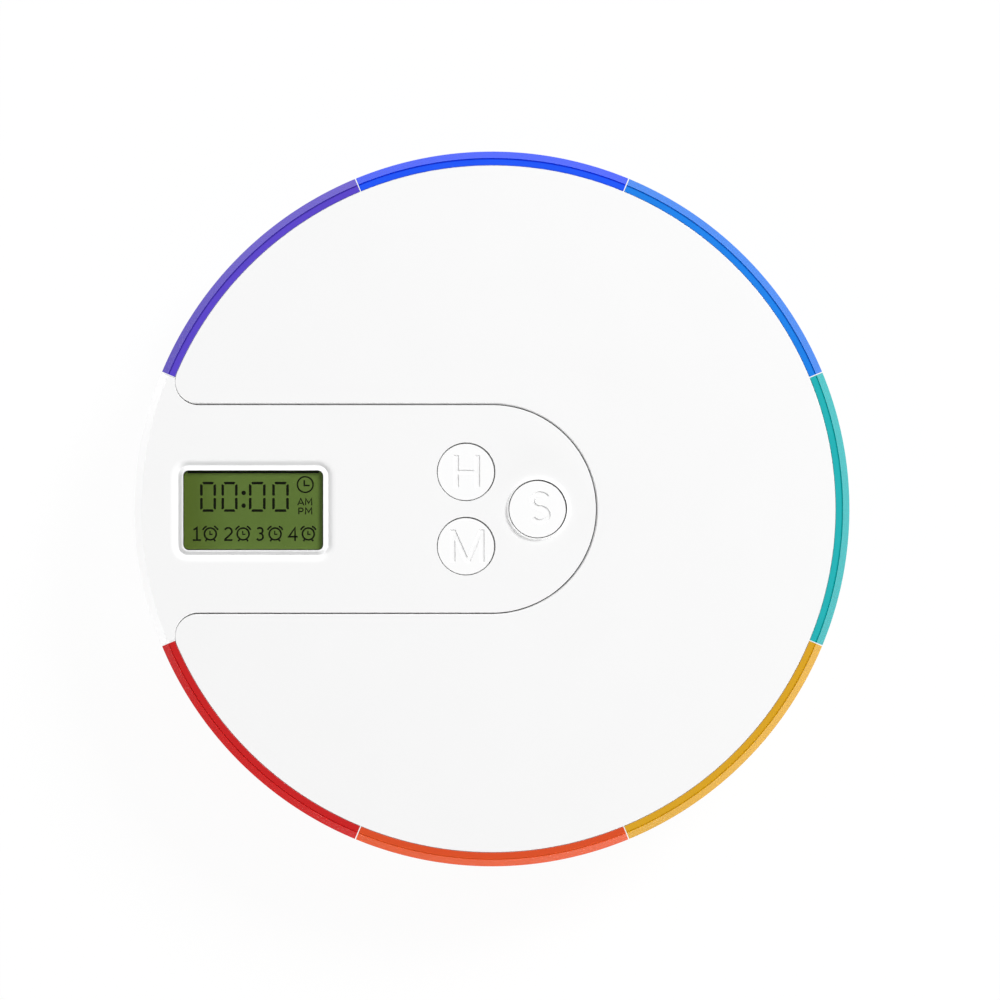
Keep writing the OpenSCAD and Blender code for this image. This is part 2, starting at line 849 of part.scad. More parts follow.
// A short insulated lead from a solder tab up to the board, which leaves both squarely
function lead_way(x, run) =
    [for (i = [0:14]) let (t = i / 14, s = t * t * (3 - 2 * t), low = z_tab + lead_gap)
        [x + run * s, lead_bow * pow(sin(180 * t), 2), low + (z_board - lead_gap - low) * t]];
module positive_lead() {
    color("#c0262a") tube(lead_way(box_x0 + 1, 2.4), lead_r);
}
module negative_lead() {
    color("#1d1d1f") tube(lead_way(box_x1 - 1, -2.4), lead_r);
}

base_tray();
rubber_feet();
mid_deck();
top_cover();
base_screws();
cover_screws();
drawer_violet();
drawer_blue();
drawer_azure();
drawer_teal();
drawer_amber();
drawer_orange();
drawer_red();
timer_top_shell();
timer_back_shell();
timer_screws();
display_window();
lcd_panel();
lcd_holder();
zebra_strip();
circuit_board();
controller_chip();
crystal();
small_components();
buzzer();
hour_switch();
minute_switch();
set_switch();
hour_button();
minute_button();
set_button();
hour_plunger();
minute_plunger();
set_plunger();
battery_door();
battery_cell();
battery_spring();
contact_plates();
positive_lead();
negative_lead();
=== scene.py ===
"""Round weekly pill box: seven see-through drawers, a white cover and a slide-out reminder timer."""

import logging
import math
from abc import ABC, abstractmethod
from dataclasses import dataclass, field
from enum import Enum
from typing import Sequence

import bmesh
import bpy
from mathutils import Matrix, Vector


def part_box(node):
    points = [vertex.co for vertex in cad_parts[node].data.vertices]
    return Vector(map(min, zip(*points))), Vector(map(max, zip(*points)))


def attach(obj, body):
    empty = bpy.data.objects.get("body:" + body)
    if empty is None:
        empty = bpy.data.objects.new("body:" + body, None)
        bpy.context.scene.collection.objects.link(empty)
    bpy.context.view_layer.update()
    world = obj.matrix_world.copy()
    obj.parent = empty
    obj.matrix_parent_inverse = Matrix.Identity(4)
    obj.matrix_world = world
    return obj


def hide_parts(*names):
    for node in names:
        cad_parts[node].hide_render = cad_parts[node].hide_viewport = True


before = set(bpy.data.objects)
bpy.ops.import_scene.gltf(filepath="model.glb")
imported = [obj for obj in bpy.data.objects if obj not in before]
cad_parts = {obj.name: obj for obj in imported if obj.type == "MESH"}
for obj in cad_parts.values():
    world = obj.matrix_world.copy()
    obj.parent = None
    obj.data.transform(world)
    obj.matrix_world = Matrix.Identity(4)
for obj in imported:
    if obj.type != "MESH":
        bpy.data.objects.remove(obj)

LOG = logging.getLogger("pill_box")
MM = 0.001
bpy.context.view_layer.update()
WHITE = (1.0, 1.0, 1.0, 1.0)
LESS, MORE = 6, 7            # the Mix node's two colour inputs, which share their names with others
WINDOW = (31.3, 17.8)        # width and height of the display's opening in millimetres
GROOVE = 78.25               # radius of the fine groove along the top of the fronts in millimetres
CREASE = 32.0                # angle in degrees above which an edge stays sharp

Point = tuple[float, float]
Level = tuple[list[Point], float]
Loop = list[bmesh.types.BMEdge]
Piece = bpy.types.Object
Material = bpy.types.Material
Tree = bpy.types.NodeTree
Node = bpy.types.Node
Socket = bpy.types.NodeSocket


def box_mm(node: str) -> tuple[Vector, Vector]:
    """Gives a CAD node's box in millimetres.

    Args:
        node: Name of the CAD node.

    Returns:
        The lowest and the highest corner.
    """
    low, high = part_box(node)
    return low / MM, high / MM


def middle(node: str) -> Point:
    """Gives the middle of a CAD node's plan in millimetres."""
    low, high = box_mm(node)
    return (low.x + high.x) / 2, (low.y + high.y) / 2


def polar(radius: float, degrees: float, centre: Point = (0.0, 0.0)) -> Point:
    """Gives the point at a radius and an angle about a centre."""
    turn = math.radians(degrees)
    return centre[0] + radius * math.cos(turn), centre[1] + radius * math.sin(turn)


def arc(radius: float, start: float, end: float, steps: int, centre: Point = (0.0, 0.0)) -> list[Point]:
    """Gives points along an arc.

    Args:
        radius: Radius of the arc.
        start: First angle in degrees.
        end: Last angle in degrees.
        steps: Number of straight steps in the arc.
        centre: Centre of the arc.

    Returns:
        The steps + 1 points, both ends included.
    """
    return [polar(radius, start + (end - start) * i / steps, centre) for i in range(steps + 1)]


def circle(radius: float, steps: int, centre: Point = (0.0, 0.0)) -> list[Point]:
    """Gives the points of a full circle, without the first one twice."""
    return arc(radius, 0, 360, steps, centre)[:-1]


def round_rect(width: float, height: float, radius: float, centre: Point, steps: int = 8) -> list[Point]:
    """Gives a rectangle with round corners.

    Args:
        width: Width along X.
        height: Height along Y.
        radius: Radius of the corners.
        centre: Centre of the rectangle.
        steps: Straight steps in each corner.

    Returns:
        The outline's points, anticlockwise.
    """
    points: list[Point] = []
    for index, (sx, sy) in enumerate(((1, 1), (-1, 1), (-1, -1), (1, -1))):
        corner = (centre[0] + sx * (width / 2 - radius), centre[1] + sy * (height / 2 - radius))
        points += arc(radius, 90 * index, 90 * index + 90, steps, corner)
    return points


def ribbon(line: Sequence[Point], width: float) -> list[Point]:
    """Widens a centre line to a band with mitred bends and square ends.

    Args:
        line: Points of the centre line.
        width: Width of the band.

    Returns:
        The band's outline.
    """
    left: list[Point] = []
    right: list[Point] = []
    for index, at in enumerate(line):
        before = Vector(line[max(index - 1, 0)])
        after = Vector(line[min(index + 1, len(line) - 1)])
        here = Vector(at)
        runs = [run.normalized() for run in (here - before, after - here) if run.length > 1e-9]
        along = sum(runs, Vector((0, 0))).normalized()
        reach = width / 2 / max(along.dot(runs[0]), 0.5)
        side = Vector((-along.y, along.x)) * reach
        left.append(tuple(here + side))
        right.append(tuple(here - side))
    return left + right[::-1]


class Moulding:
    """A solid that is built up in millimetres from loops at several heights."""

    def __init__(self) -> None:
        """Starts with an empty mesh."""
        self.bm = bmesh.new()

    def loop(self, points: Sequence[Point], z: float) -> Loop:
        """Adds one closed loop of edges at a height."""
        verts = [self.bm.verts.new((x, y, z)) for x, y in points]
        return [self.bm.edges.new(pair) for pair in zip(verts, verts[1:] + verts[:1])]

    def wall(self, levels: Sequence[Level]) -> tuple[Loop, Loop]:
        """Joins loops at successive heights with a wall.

        Args:
            levels: Outlines with equally many points, each with its height.

        Returns:
            The first and the last loop.
        """
        loops = [self.loop(points, z) for points, z in levels]
        for low, high in zip(loops, loops[1:]):
            bmesh.ops.bridge_loops(self.bm, edges=[*low, *high])
        return loops[0], loops[-1]

    def cap(self, *loops: Loop) -> None:
        """Fills the flat area between an outer loop and any loops inside it."""
        edges = [edge for loop in loops for edge in loop]
        bmesh.ops.triangle_fill(self.bm, use_beauty=True, edges=edges)

    def solid(self, levels: Sequence[Level]) -> "Moulding":
        """Adds a closed solid: a wall with a cap at both ends."""
        bottom, top = self.wall(levels)
        self.cap(bottom)
        self.cap(top)
        return self

    def post(self, centre: Point, radius: float, low: float, high: float, steps: int = 32) -> None:
        """Adds a round post between two heights."""
        self.solid([(circle(radius, steps, centre), z) for z in (low, high)])

    def bar(self, low: Sequence[float], high: Sequence[float], edge: float) -> None:
        """Adds a straight bar between two corners.

        Args:
            low: Lowest corner.
            high: Highest corner.
            edge: Width of the bevel on its edges.
        """
        made = bmesh.ops.create_cube(self.bm, size=1)["verts"]
        span = Vector(high) - Vector(low)
        bmesh.ops.scale(self.bm, vec=span, verts=made)
        bmesh.ops.translate(self.bm, vec=(Vector(high) + Vector(low)) / 2, verts=made)
        edges = list({e for v in made for e in v.link_edges})
        bmesh.ops.bevel(self.bm, geom=edges, offset=edge, affect="EDGES", segments=2, profile=0.5,
                        material=-1, offset_type="OFFSET", clamp_overlap=True)

    def to_object(self, name: str) -> Piece:
        """Merges, turns the faces outwards, scales to metres and makes an object."""
        bmesh.ops.remove_doubles(self.bm, verts=self.bm.verts, dist=1e-4)
        bmesh.ops.recalc_face_normals(self.bm, faces=self.bm.faces)
        bmesh.ops.scale(self.bm, vec=(MM, MM, MM), verts=self.bm.verts)
        mesh = bpy.data.meshes.new(name)
        self.bm.to_mesh(mesh)
        self.bm.free()
        made = bpy.data.objects.new(name, mesh)
        bpy.context.scene.collection.objects.link(made)
        return made


class Join(Enum):
    """How two solids are put together."""

    ADD = "UNION"
    CUT = "DIFFERENCE"


def combine(target: Piece, tool: Piece, how: Join) -> Piece:
    """Adds one solid to another or cuts it out, and removes the tool.

    Args:
        target: The solid that stays.
        tool: The solid that is added or cut out.
        how: Whether it is added or cut out.

    Returns:
        The target with its new mesh.
    """
    step = target.modifiers.new("join", "BOOLEAN")
    step.operation = how.value
    step.solver = "EXACT"
    step.object = tool
    graph = bpy.context.evaluated_depsgraph_get()
    graph.update()
    mesh = bpy.data.meshes.new_from_object(target.evaluated_get(graph), depsgraph=graph)
    target.modifiers.clear()
    old = target.data
    target.data = mesh
    bpy.data.meshes.remove(old)
    bpy.data.objects.remove(tool)
    return target


def copy_turned(source: Piece, name: str, degrees: float) -> Piece:
    """Copies a piece and turns the copy's mesh about the case's axis."""
    mesh = source.data.copy()
    mesh.transform(Matrix.Rotation(math.radians(degrees), 4, "Z"))
    made = bpy.data.objects.new(name, mesh)
    bpy.context.scene.collection.objects.link(made)
    return made


def shade(piece: Piece) -> None:
    """Shades a piece smoothly up to the crease angle, with flats kept flat by their area."""
    mesh = piece.data
    mesh.polygons.foreach_set("use_smooth", [True] * len(mesh.polygons))
    mesh.set_sharp_from_angle(angle=math.radians(CREASE))
    even = piece.modifiers.new("even_normals", "WEIGHTED_NORMAL")
    even.keep_sharp = True


def place(piece: Piece, body: str, material: Material, replaces: Sequence[str] = ()) -> None:
    """Gives a piece its finish and its body.

    Args:
        piece: The piece, already in its place.
        body: CAD body that it rides on.
        material: Its finish.
        replaces: CAD nodes that it stands for.
    """
    piece.data.materials.clear()
    piece.data.materials.append(material)
    shade(piece)
    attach(piece, body)
    if replaces:
        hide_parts(*replaces)
    LOG.info("%s: %d faces on %s", piece.name, len(piece.data.polygons), body)


def linear(code: str) -> tuple[float, float, float, float]:
    """Turns an sRGB hex colour to linear light."""
    parts = [int(code[i:i + 2], 16) / 255 for i in (1, 3, 5)]
    return (*(c / 12.92 if c <= 0.04045 else ((c + 0.055) / 1.055) ** 2.4 for c in parts), 1.0)


def add_node(tree: Tree, kind: str, inputs: dict | None = None, **settings: str | int) -> Node:
    """Adds a shader node with its settings and links.

    Args:
        tree: Tree that the node goes into.
        kind: The node's type name, without its ShaderNode prefix.
        inputs: What its inputs take, by name or index: a value, a socket, or a node, which stands
            for its first output in use.
        **settings: Properties of the node.

    Returns:
        The new node.
    """
    made = tree.nodes.new("ShaderNode" + kind)
    for name, value in settings.items():
        setattr(made, name, value)
    for key, value in (inputs or {}).items():
        if isinstance(value, Node):
            value = next(socket for socket in value.outputs if socket.enabled)
        if isinstance(value, Socket):
            tree.links.new(value, made.inputs[key])
        else:
            made.inputs[key].default_value = value
    return made


def per_mm(size: float) -> float:
    """Gives the texture scale whose features are about that many millimetres wide."""
    return 1 / (size * MM)


def from_axis(tree: Tree, place_at: Socket) -> Node:
    """Gives a point's distance from the case's axis in metres."""
    flat = add_node(tree, "VectorMath", {0: place_at, 1: (1.0, 1.0, 0.0)}, operation="MULTIPLY")
    return add_node(tree, "VectorMath", {0: flat}, operation="LENGTH")


def looked_at(tree: Tree) -> Node:
    """Gives 1 where the eye sees the backdrop, straight or through glass, and else 0."""
    path = add_node(tree, "LightPath").outputs
    return add_node(tree, "Math", {0: path["Is Camera Ray"], 1: path["Is Transmission Ray"]},
                    operation="MAXIMUM")


@dataclass(frozen=True)
class Finish(ABC):
    """A finish, whose patterns lie in object coordinates.

    Attributes:
        name: Name of the material.
    """

    name: str

    @abstractmethod
    def surface(self, tree: Tree, place_at: Socket) -> Node:
        """Adds the finish's own nodes.

        Args:
            tree: The material's tree.
            place_at: The object coordinates.

        Returns:
            The shader.
        """

    def build(self) -> Material:
        """Builds the material."""
        material = bpy.data.materials.new(self.name)
        material.use_nodes = True
        tree = material.node_tree
        tree.nodes.clear()
        place_at = add_node(tree, "TexCoord").outputs["Object"]
        add_node(tree, "OutputMaterial", {"Surface": self.surface(tree, place_at)})
        return material


@dataclass(frozen=True)
class MouldedPlastic(Finish):
    """Opaque injection-moulded plastic, such as ABS: a spark-eroded mould leaves a fine even grain.

    Attributes:
        colour: Its main colour.
        shade: Its slightly darker colour, in soft clouds.
        gloss: Roughness of its polished spots.
        matt: Roughness of its dull spots.
        cloud: Width of the clouds in millimetres.
        grain: Width of the mould's grain in millimetres, coarser than life so that it shows.
        depth: Depth of the grain in millimetres.
        edge: Width in millimetres over which its edges look rounded, since no mould is quite sharp.
        rim: Painted highlight: a lighter colour painted on the outer rim's slope, past
            painted_highlight_from millimetres from the axis, if it has one.
        painted_highlight_from: Where the painted highlight begins.
        painted_highlight_blend: Half the width in millimetres over which it begins.
    """

    colour: str
    shade: str
    gloss: float = 0.32
    matt: float = 0.42
    cloud: float = 18.0
    grain: float = 0.25
    depth: float = 0.004
    edge: float = 0.0
    rim: str = ""
    painted_highlight_from: float = 78.3
    painted_highlight_blend: float = 0.1

    def surface(self, tree: Tree, place_at: Socket) -> Node:
        """Adds the plastic's nodes."""
        cloud = add_node(tree, "TexNoise", {"Vector": place_at, "Scale": per_mm(self.cloud), "Detail": 2})
        grit = add_node(tree, "TexNoise", {"Vector": place_at, "Scale": per_mm(self.grain), "Detail": 3})
        relief = {"Height": grit, "Strength": 0.5, "Distance": self.depth * MM}
        if self.edge > 0:
            relief["Normal"] = add_node(tree, "Bevel", {"Radius": self.edge * MM}, samples=4)
        colour = add_node(tree, "Mix", {"Factor": cloud, LESS: linear(self.shade),
                                        MORE: linear(self.colour)}, data_type="RGBA")
        # painted highlight: the rim's slope is painted a lighter colour, in place of the light that it
        # catches
        if self.rim:
            past = add_node(tree, "MapRange", {"Value": from_axis(tree, place_at),
                                               "From Min": (self.painted_highlight_from - self.painted_highlight_blend) * MM,
                                               "From Max": (self.painted_highlight_from + self.painted_highlight_blend) * MM})
            colour = add_node(tree, "Mix", {"Factor": past, LESS: colour, MORE: linear(self.rim)},
                              data_type="RGBA")
        rough = add_node(tree, "MapRange", {"Value": grit, "To Min": self.gloss, "To Max": self.matt})
        bump = add_node(tree, "Bump", relief)
        return add_node(tree, "BsdfPrincipled", {"Base Color": colour, "IOR": 1.52, "Roughness": rough,
                                                 "Normal": bump})


@dataclass(frozen=True)
class TintedPolystyrene(Finish):
    """See-through coloured polystyrene: polished, with a glow of its own colour through its thickness.

    The eye sees its colour deepen where the mass is thick, at the front, and more light come through where
    it is thin, in the tub. A darker colour is painted as shade into the fine line along its top and onto its
    slope.

    Attributes:
        colour: Its colour in the mass.
        painted_shade_and_cloud: Painted shade: the darker colour painted into the line along the top of the
            front and onto its slope, which the clouds also lean towards.
        line: Distance of that line from the axis in millimetres.
        line_core: Half the width of the line's middle in millimetres.
        line_half: Half the width of the whole line in millimetres.
        crest: Distance from the axis at which the front's top turns into its slope.
        blend: Half the width in millimetres over which it turns.
        slope_share: Share of the main colour left on the slope, where the rest is painted shade.
        top: Height in millimetres above which the eye looks down through the whole front.
        thick_clear: Share of light that goes straight through the front's top.
        thin_clear: Share of light that goes straight through the walls.
        flow: Width in millimetres of the clouds that the melt leaves.
        clouds: Least and greatest strength of the main colour in the clouds.
        fine: Width in millimetres of the polish's unevenness.
        specks: Least and greatest strength of the main colour in that unevenness.
        rough: Least and greatest roughness.
        coat: Weight of the polished skin over the mass.
        coat_rough: Roughness of that skin.
    """

    colour: str
    painted_shade_and_cloud: str
    line: float = GROOVE
    line_core: float = 0.08
    line_half: float = 0.32
    crest: float = 78.5
    blend: float = 0.1
    slope_share: float = 0.3
    top: float = 28.0
    thick_clear: float = 0.1
    thin_clear: float = 0.45
    flow: float = 7.0
    clouds: Point = (0.75, 1.15)
    fine: float = 0.8
    specks: Point = (0.93, 1.05)
    rough: Point = (0.12, 0.2)
    coat: float = 0.5
    coat_rough: float = 0.08

    def surface(self, tree: Tree, place_at: Socket) -> Node:
        """Adds the plastic's nodes."""
        flow = add_node(tree, "TexNoise", {"Vector": place_at, "Scale": per_mm(self.flow), "Detail": 2,
                                           "Distortion": 0.6})
        fine = add_node(tree, "TexNoise", {"Vector": place_at, "Scale": per_mm(self.fine), "Detail": 2})
        bump = add_node(tree, "Bump", {"Height": flow, "Strength": 0.2, "Distance": 0.02 * MM})
        radius = from_axis(tree, place_at)
        # painted shade: the line along the top and the slope take the darker colour
        off = add_node(tree, "Math", {0: radius, 1: self.line * MM}, operation="SUBTRACT")
        off = add_node(tree, "Math", {0: off}, operation="ABSOLUTE")
        away = add_node(tree, "MapRange", {"Value": off, "From Min": self.line_core * MM,
                                           "From Max": self.line_half * MM}, interpolation_type="SMOOTHSTEP")
        clouds, specks, rough = (
            add_node(tree, "MapRange", {"Value": value, "To Min": low, "To Max": high})
            for value, (low, high) in ((flow, self.clouds), (fine, self.specks), (fine, self.rough)))
        slope = add_node(tree, "MapRange", {"Value": radius, "From Min": (self.crest - self.blend) * MM,
                                            "From Max": (self.crest + self.blend) * MM,
                                            "To Min": 1.0, "To Max": self.slope_share})
        share = away
        for part in (clouds, specks, slope):
            share = add_node(tree, "Math", {0: share, 1: part}, operation="MULTIPLY")
        colour = add_node(tree, "Mix", {"Factor": share, LESS: linear(self.painted_shade_and_cloud),
                                        MORE: linear(self.colour)}, data_type="RGBA")
        height = add_node(tree, "SeparateXYZ", {0: place_at}).outputs["Z"]
        clear = add_node(tree, "MapRange", {"Value": height, "From Min": (self.top - 1) * MM,
                                            "From Max": self.top * MM,
                                            "To Min": self.thin_clear, "To Max": self.thick_clear})
        return add_node(tree, "BsdfPrincipled", {"Base Color": colour, "Roughness": rough, "IOR": 1.59,
                                                 "Transmission Weight": clear, "Coat Weight": self.coat,
                                                 "Coat Roughness": self.coat_rough, "Normal": bump})


@dataclass(frozen=True)
class ClearAcrylic(Finish):
    """The display's polished acrylic window: nearly invisible from the front, glossy from the side.

    Attributes:
        tint: Colour of the little that it holds back.
        face_on: Share that it holds back, seen straight on.
        edge_on: Share that it holds back, seen along its surface.
        scuff: Width of the wiping marks in millimetres.
        gloss: Roughness between the marks.
        matt: Roughness of the marks.
    """

    name: str = "polished_clear_acrylic"
    tint: str = "#10160c"
    face_on: float = 0.04
    edge_on: float = 0.7
    scuff: float = 0.9
    gloss: float = 0.03
    matt: float = 0.09

    def surface(self, tree: Tree, place_at: Socket) -> Node:
        """Adds the window's nodes."""
        scuff = add_node(tree, "TexNoise", {"Vector": place_at, "Scale": per_mm(self.scuff), "Detail": 4})
        tilt = add_node(tree, "LayerWeight", {"Blend": 0.5}).outputs["Facing"]
        mirror = add_node(tree, "Math", {0: tilt, 1: 5.0}, operation="POWER")
        held = add_node(tree, "MapRange", {"Value": mirror, "To Min": self.face_on, "To Max": self.edge_on})
        rough = add_node(tree, "MapRange", {"Value": scuff, "To Min": self.gloss, "To Max": self.matt})
        return add_node(tree, "BsdfPrincipled", {"Base Color": linear(self.tint), "IOR": 1.49,
                                                 "Alpha": held, "Roughness": rough})


@dataclass(frozen=True)
class LiquidCrystal(Finish):
    """Green reflective liquid crystal glass: an even matt green, with a painted shade that darkens it
    towards its left edge.

    Attributes:
        bright: Colour on the right.
        painted_left_shade_and_cloud: Painted shade: the darker colour towards the left edge, which the
            clouds also lean towards.
        span: Places along X in millimetres between which the painted shade fades into the bright colour.
        cloud: Width of the glass's faint clouds in millimetres.
        gloss: Roughness of its glossy spots.
        matt: Roughness of its dull spots.
    """

    name: str = "green_liquid_crystal_glass"
    bright: str = "#667f3b"
    painted_left_shade_and_cloud: str = "#576b28"
    span: Point = (-70.0, -58.0)
    cloud: float = 2.2
    gloss: float = 0.2
    matt: float = 0.28

    def surface(self, tree: Tree, place_at: Socket) -> Node:
        """Adds the glass's nodes."""
        cloud = add_node(tree, "TexNoise", {"Vector": place_at, "Scale": per_mm(self.cloud), "Detail": 3})
        across = add_node(tree, "SeparateXYZ", {0: place_at}).outputs["X"]
        # painted shade: the glass is painted darker towards the window's left edge
        side = add_node(tree, "MapRange", {"Value": across, "From Min": self.span[0] * MM,
                                           "From Max": self.span[1] * MM}, interpolation_type="SMOOTHSTEP")
        even = add_node(tree, "MapRange", {"Value": cloud, "To Min": 0.75, "To Max": 1.0})
        share = add_node(tree, "Math", {0: side, 1: even}, operation="MULTIPLY")
        colour = add_node(tree, "Mix", {"Factor": share, LESS: linear(self.painted_left_shade_and_cloud),
                                        MORE: linear(self.bright)}, data_type="RGBA")
        rough = add_node(tree, "MapRange", {"Value": cloud, "To Min": self.gloss, "To Max": self.matt})
        return add_node(tree, "BsdfPrincipled", {"Base Color": colour, "Roughness": rough, "IOR": 1.5})


@dataclass(frozen=True)
class PlatedMetal(Finish):
    """Steel with a zinc or nickel plating: bright, with a soft drawn or tumbled unevenness.

    Attributes:
        colour: Its colour.
        gloss: Roughness of its bright spots.
        matt: Roughness of its dull spots.
        mark: Width of the marks in millimetres.
    """

    colour: str
    gloss: float = 0.22
    matt: float = 0.42
    mark: float = 0.4

    def surface(self, tree: Tree, place_at: Socket) -> Node:
        """Adds the metal's nodes."""
        mark = add_node(tree, "TexNoise", {"Vector": place_at, "Scale": per_mm(self.mark), "Detail": 3})
        bump = add_node(tree, "Bump", {"Height": mark, "Strength": 0.4, "Distance": 0.01 * MM})
        rough = add_node(tree, "MapRange", {"Value": mark, "To Min": self.gloss, "To Max": self.matt})
        return add_node(tree, "BsdfPrincipled", {"Base Color": linear(self.colour), "Metallic": 1.0,
                                                 "Roughness": rough, "Normal": bump})


@dataclass(frozen=True)
class Rubber(Finish):
    """Moulded rubber: dull and dark, with a fine pebbled skin.

    Attributes:
        colour: Its clean colour.
        dust: Its dusty colour.
        pebble: Width of the skin's pebbles in millimetres.
        patch: Width of the dusty patches in millimetres.
        clean_rough: Roughness where it is clean.
        dusty_rough: Roughness where it is dusty.
    """

    colour: str
    dust: str
    pebble: float = 0.35
    patch: float = 3.0
    clean_rough: float = 0.7
    dusty_rough: float = 0.9

    def surface(self, tree: Tree, place_at: Socket) -> Node:
        """Adds the rubber's nodes."""
        skin = add_node(tree, "TexVoronoi", {"Vector": place_at, "Scale": per_mm(self.pebble)})
        dust = add_node(tree, "TexNoise", {"Vector": place_at, "Scale": per_mm(self.patch), "Detail": 3})
        bump = add_node(tree, "Bump", {"Height": skin, "Strength": 0.6, "Distance": 0.03 * MM})
        colour = add_node(tree, "Mix", {"Factor": dust, LESS: linear(self.colour),
                                        MORE: linear(self.dust)}, data_type="RGBA")
        rough = add_node(tree, "MapRange", {"Value": dust, "To Min": self.clean_rough,
                                            "To Max": self.dusty_rough})
        return add_node(tree, "BsdfPrincipled", {"Base Color": colour, "Roughness": rough, "Normal": bump})


@dataclass(frozen=True)
class SolderMask(Finish):
    """Glass fibre circuit board: green lacquer with the copper tracks showing through, a little raised.

    Attributes:
        lacquer: Colour between the tracks.
        track: Colour over the tracks.
        pitch: Distance between tracks in millimetres.
        width: Width of a track in millimetres.
        core: Half the flat middle of a track, as a share of the pitch.
    """

    name: str = "green_lacquered_circuit_board"
    lacquer: str = "#175a30"
    track: str = "#2b7d45"
    pitch: float = 2.2
    width: float = 0.3
    core: float = 0.04

    def surface(self, tree: Tree, place_at: Socket) -> Node:
        """Adds the board's nodes."""
        net = add_node(tree, "TexVoronoi", {"Vector": place_at, "Scale": per_mm(self.pitch),
                                            "Randomness": 0.6}, feature="DISTANCE_TO_EDGE")
        track = add_node(tree, "MapRange", {"Value": net, "From Min": self.core,
                                            "From Max": self.core + self.width / self.pitch,
                                            "To Min": 1.0, "To Max": 0.0})
        bump = add_node(tree, "Bump", {"Height": track, "Strength": 0.5, "Distance": 0.03 * MM})
        colour = add_node(tree, "Mix", {"Factor": track, LESS: linear(self.lacquer),
                                        MORE: linear(self.track)}, data_type="RGBA")
        return add_node(tree, "BsdfPrincipled", {"Base Color": colour, "Roughness": 0.28, "IOR": 1.5,
                                                 "Normal": bump})


@dataclass(frozen=True)
class Banded(Finish):
    """Two colours in bands along X: the conducting layers of the contact strip, or a cell's sleeve.

    Attributes:
        first: First colour.
        second: Second colour.
        pitch: Width of a pair of bands in millimetres.
        share: Share of the first colour.
        metal: How metallic it is.
        grit: Width of its roughness pattern in millimetres.
        gloss: Roughness of its glossy spots.
        matt: Roughness of its dull spots.
    """

    first: str
    second: str
    pitch: float
    share: float = 0.5
    metal: float = 0.0
    grit: float = 0.6
    gloss: float = 0.3
    matt: float = 0.45

    def surface(self, tree: Tree, place_at: Socket) -> Node:
        """Adds the bands' nodes."""
        across = add_node(tree, "SeparateXYZ", {0: place_at}).outputs["X"]
        turn = add_node(tree, "Math", {0: across, 1: self.pitch / 2 * MM}, operation="PINGPONG")
        side = add_node(tree, "Math", {0: turn, 1: self.share * self.pitch / 2 * MM},
                        operation="GREATER_THAN")
        grit = add_node(tree, "TexNoise", {"Vector": place_at, "Scale": per_mm(self.grit), "Detail": 2})
        colour = add_node(tree, "Mix", {"Factor": side, LESS: linear(self.first),
                                        MORE: linear(self.second)}, data_type="RGBA")
        rough = add_node(tree, "MapRange", {"Value": grit, "To Min": self.gloss, "To Max": self.matt})
        return add_node(tree, "BsdfPrincipled", {"Base Color": colour, "Metallic": self.metal,
                                                 "Roughness": rough})


@dataclass(frozen=True)
class StudioPaper(Finish):
    """White paper under the object: the eye sees it evenly white, with a little of the shadow left.

    Attributes:
        colour: Colour of the paper.
        glow: Share of the even white.
    """

    name: str = "white_studio_floor"
    colour: str = "#fcfcfc"
    glow: float = 0.95

    def surface(self, tree: Tree, place_at: Socket) -> Node:
        """Adds the paper's nodes."""
        share = add_node(tree, "Math", {0: looked_at(tree), 1: self.glow}, operation="MULTIPLY")
        paper = add_node(tree, "BsdfDiffuse", {"Color": linear(self.colour)})
        glow = add_node(tree, "Emission", {"Color": WHITE, "Strength": 1.0})
        return add_node(tree, "MixShader", {0: share, 1: paper, 2: glow})


@dataclass(frozen=True)
class Lamp:
    """A soft rectangular lamp, aimed at the object's foot.

    Attributes:
        name: Name of the lamp.
        azimuth: Where it stands, in degrees anticlockwise from +X.
        elevation: How high it stands, in degrees.
        away: Distance in metres.
        size: Its width and height in metres.
        power: Power in watts.
        mirrored: Whether glossy surfaces show it.
    """

    name: str
    azimuth: float
    elevation: float
    away: float
    size: Point
    power: float
    mirrored: bool

    def build(self) -> None:
        """Hangs the lamp."""
        data = bpy.data.lights.new(self.name, "AREA")
        data.shape, data.energy = "RECTANGLE", self.power
        data.size, data.size_y = self.size
        lamp = bpy.data.objects.new(self.name, data)
        height = math.radians(self.elevation)
        x, y = polar(self.away * math.cos(height), self.azimuth)
        lamp.location = (x, y, self.away * math.sin(height))
        lamp.rotation_mode = "QUATERNION"
        lamp.rotation_quaternion = (-Vector(lamp.location)).to_track_quat("-Z", "Y")
        lamp.visible_glossy = self.mirrored
        bpy.context.scene.collection.objects.link(lamp)


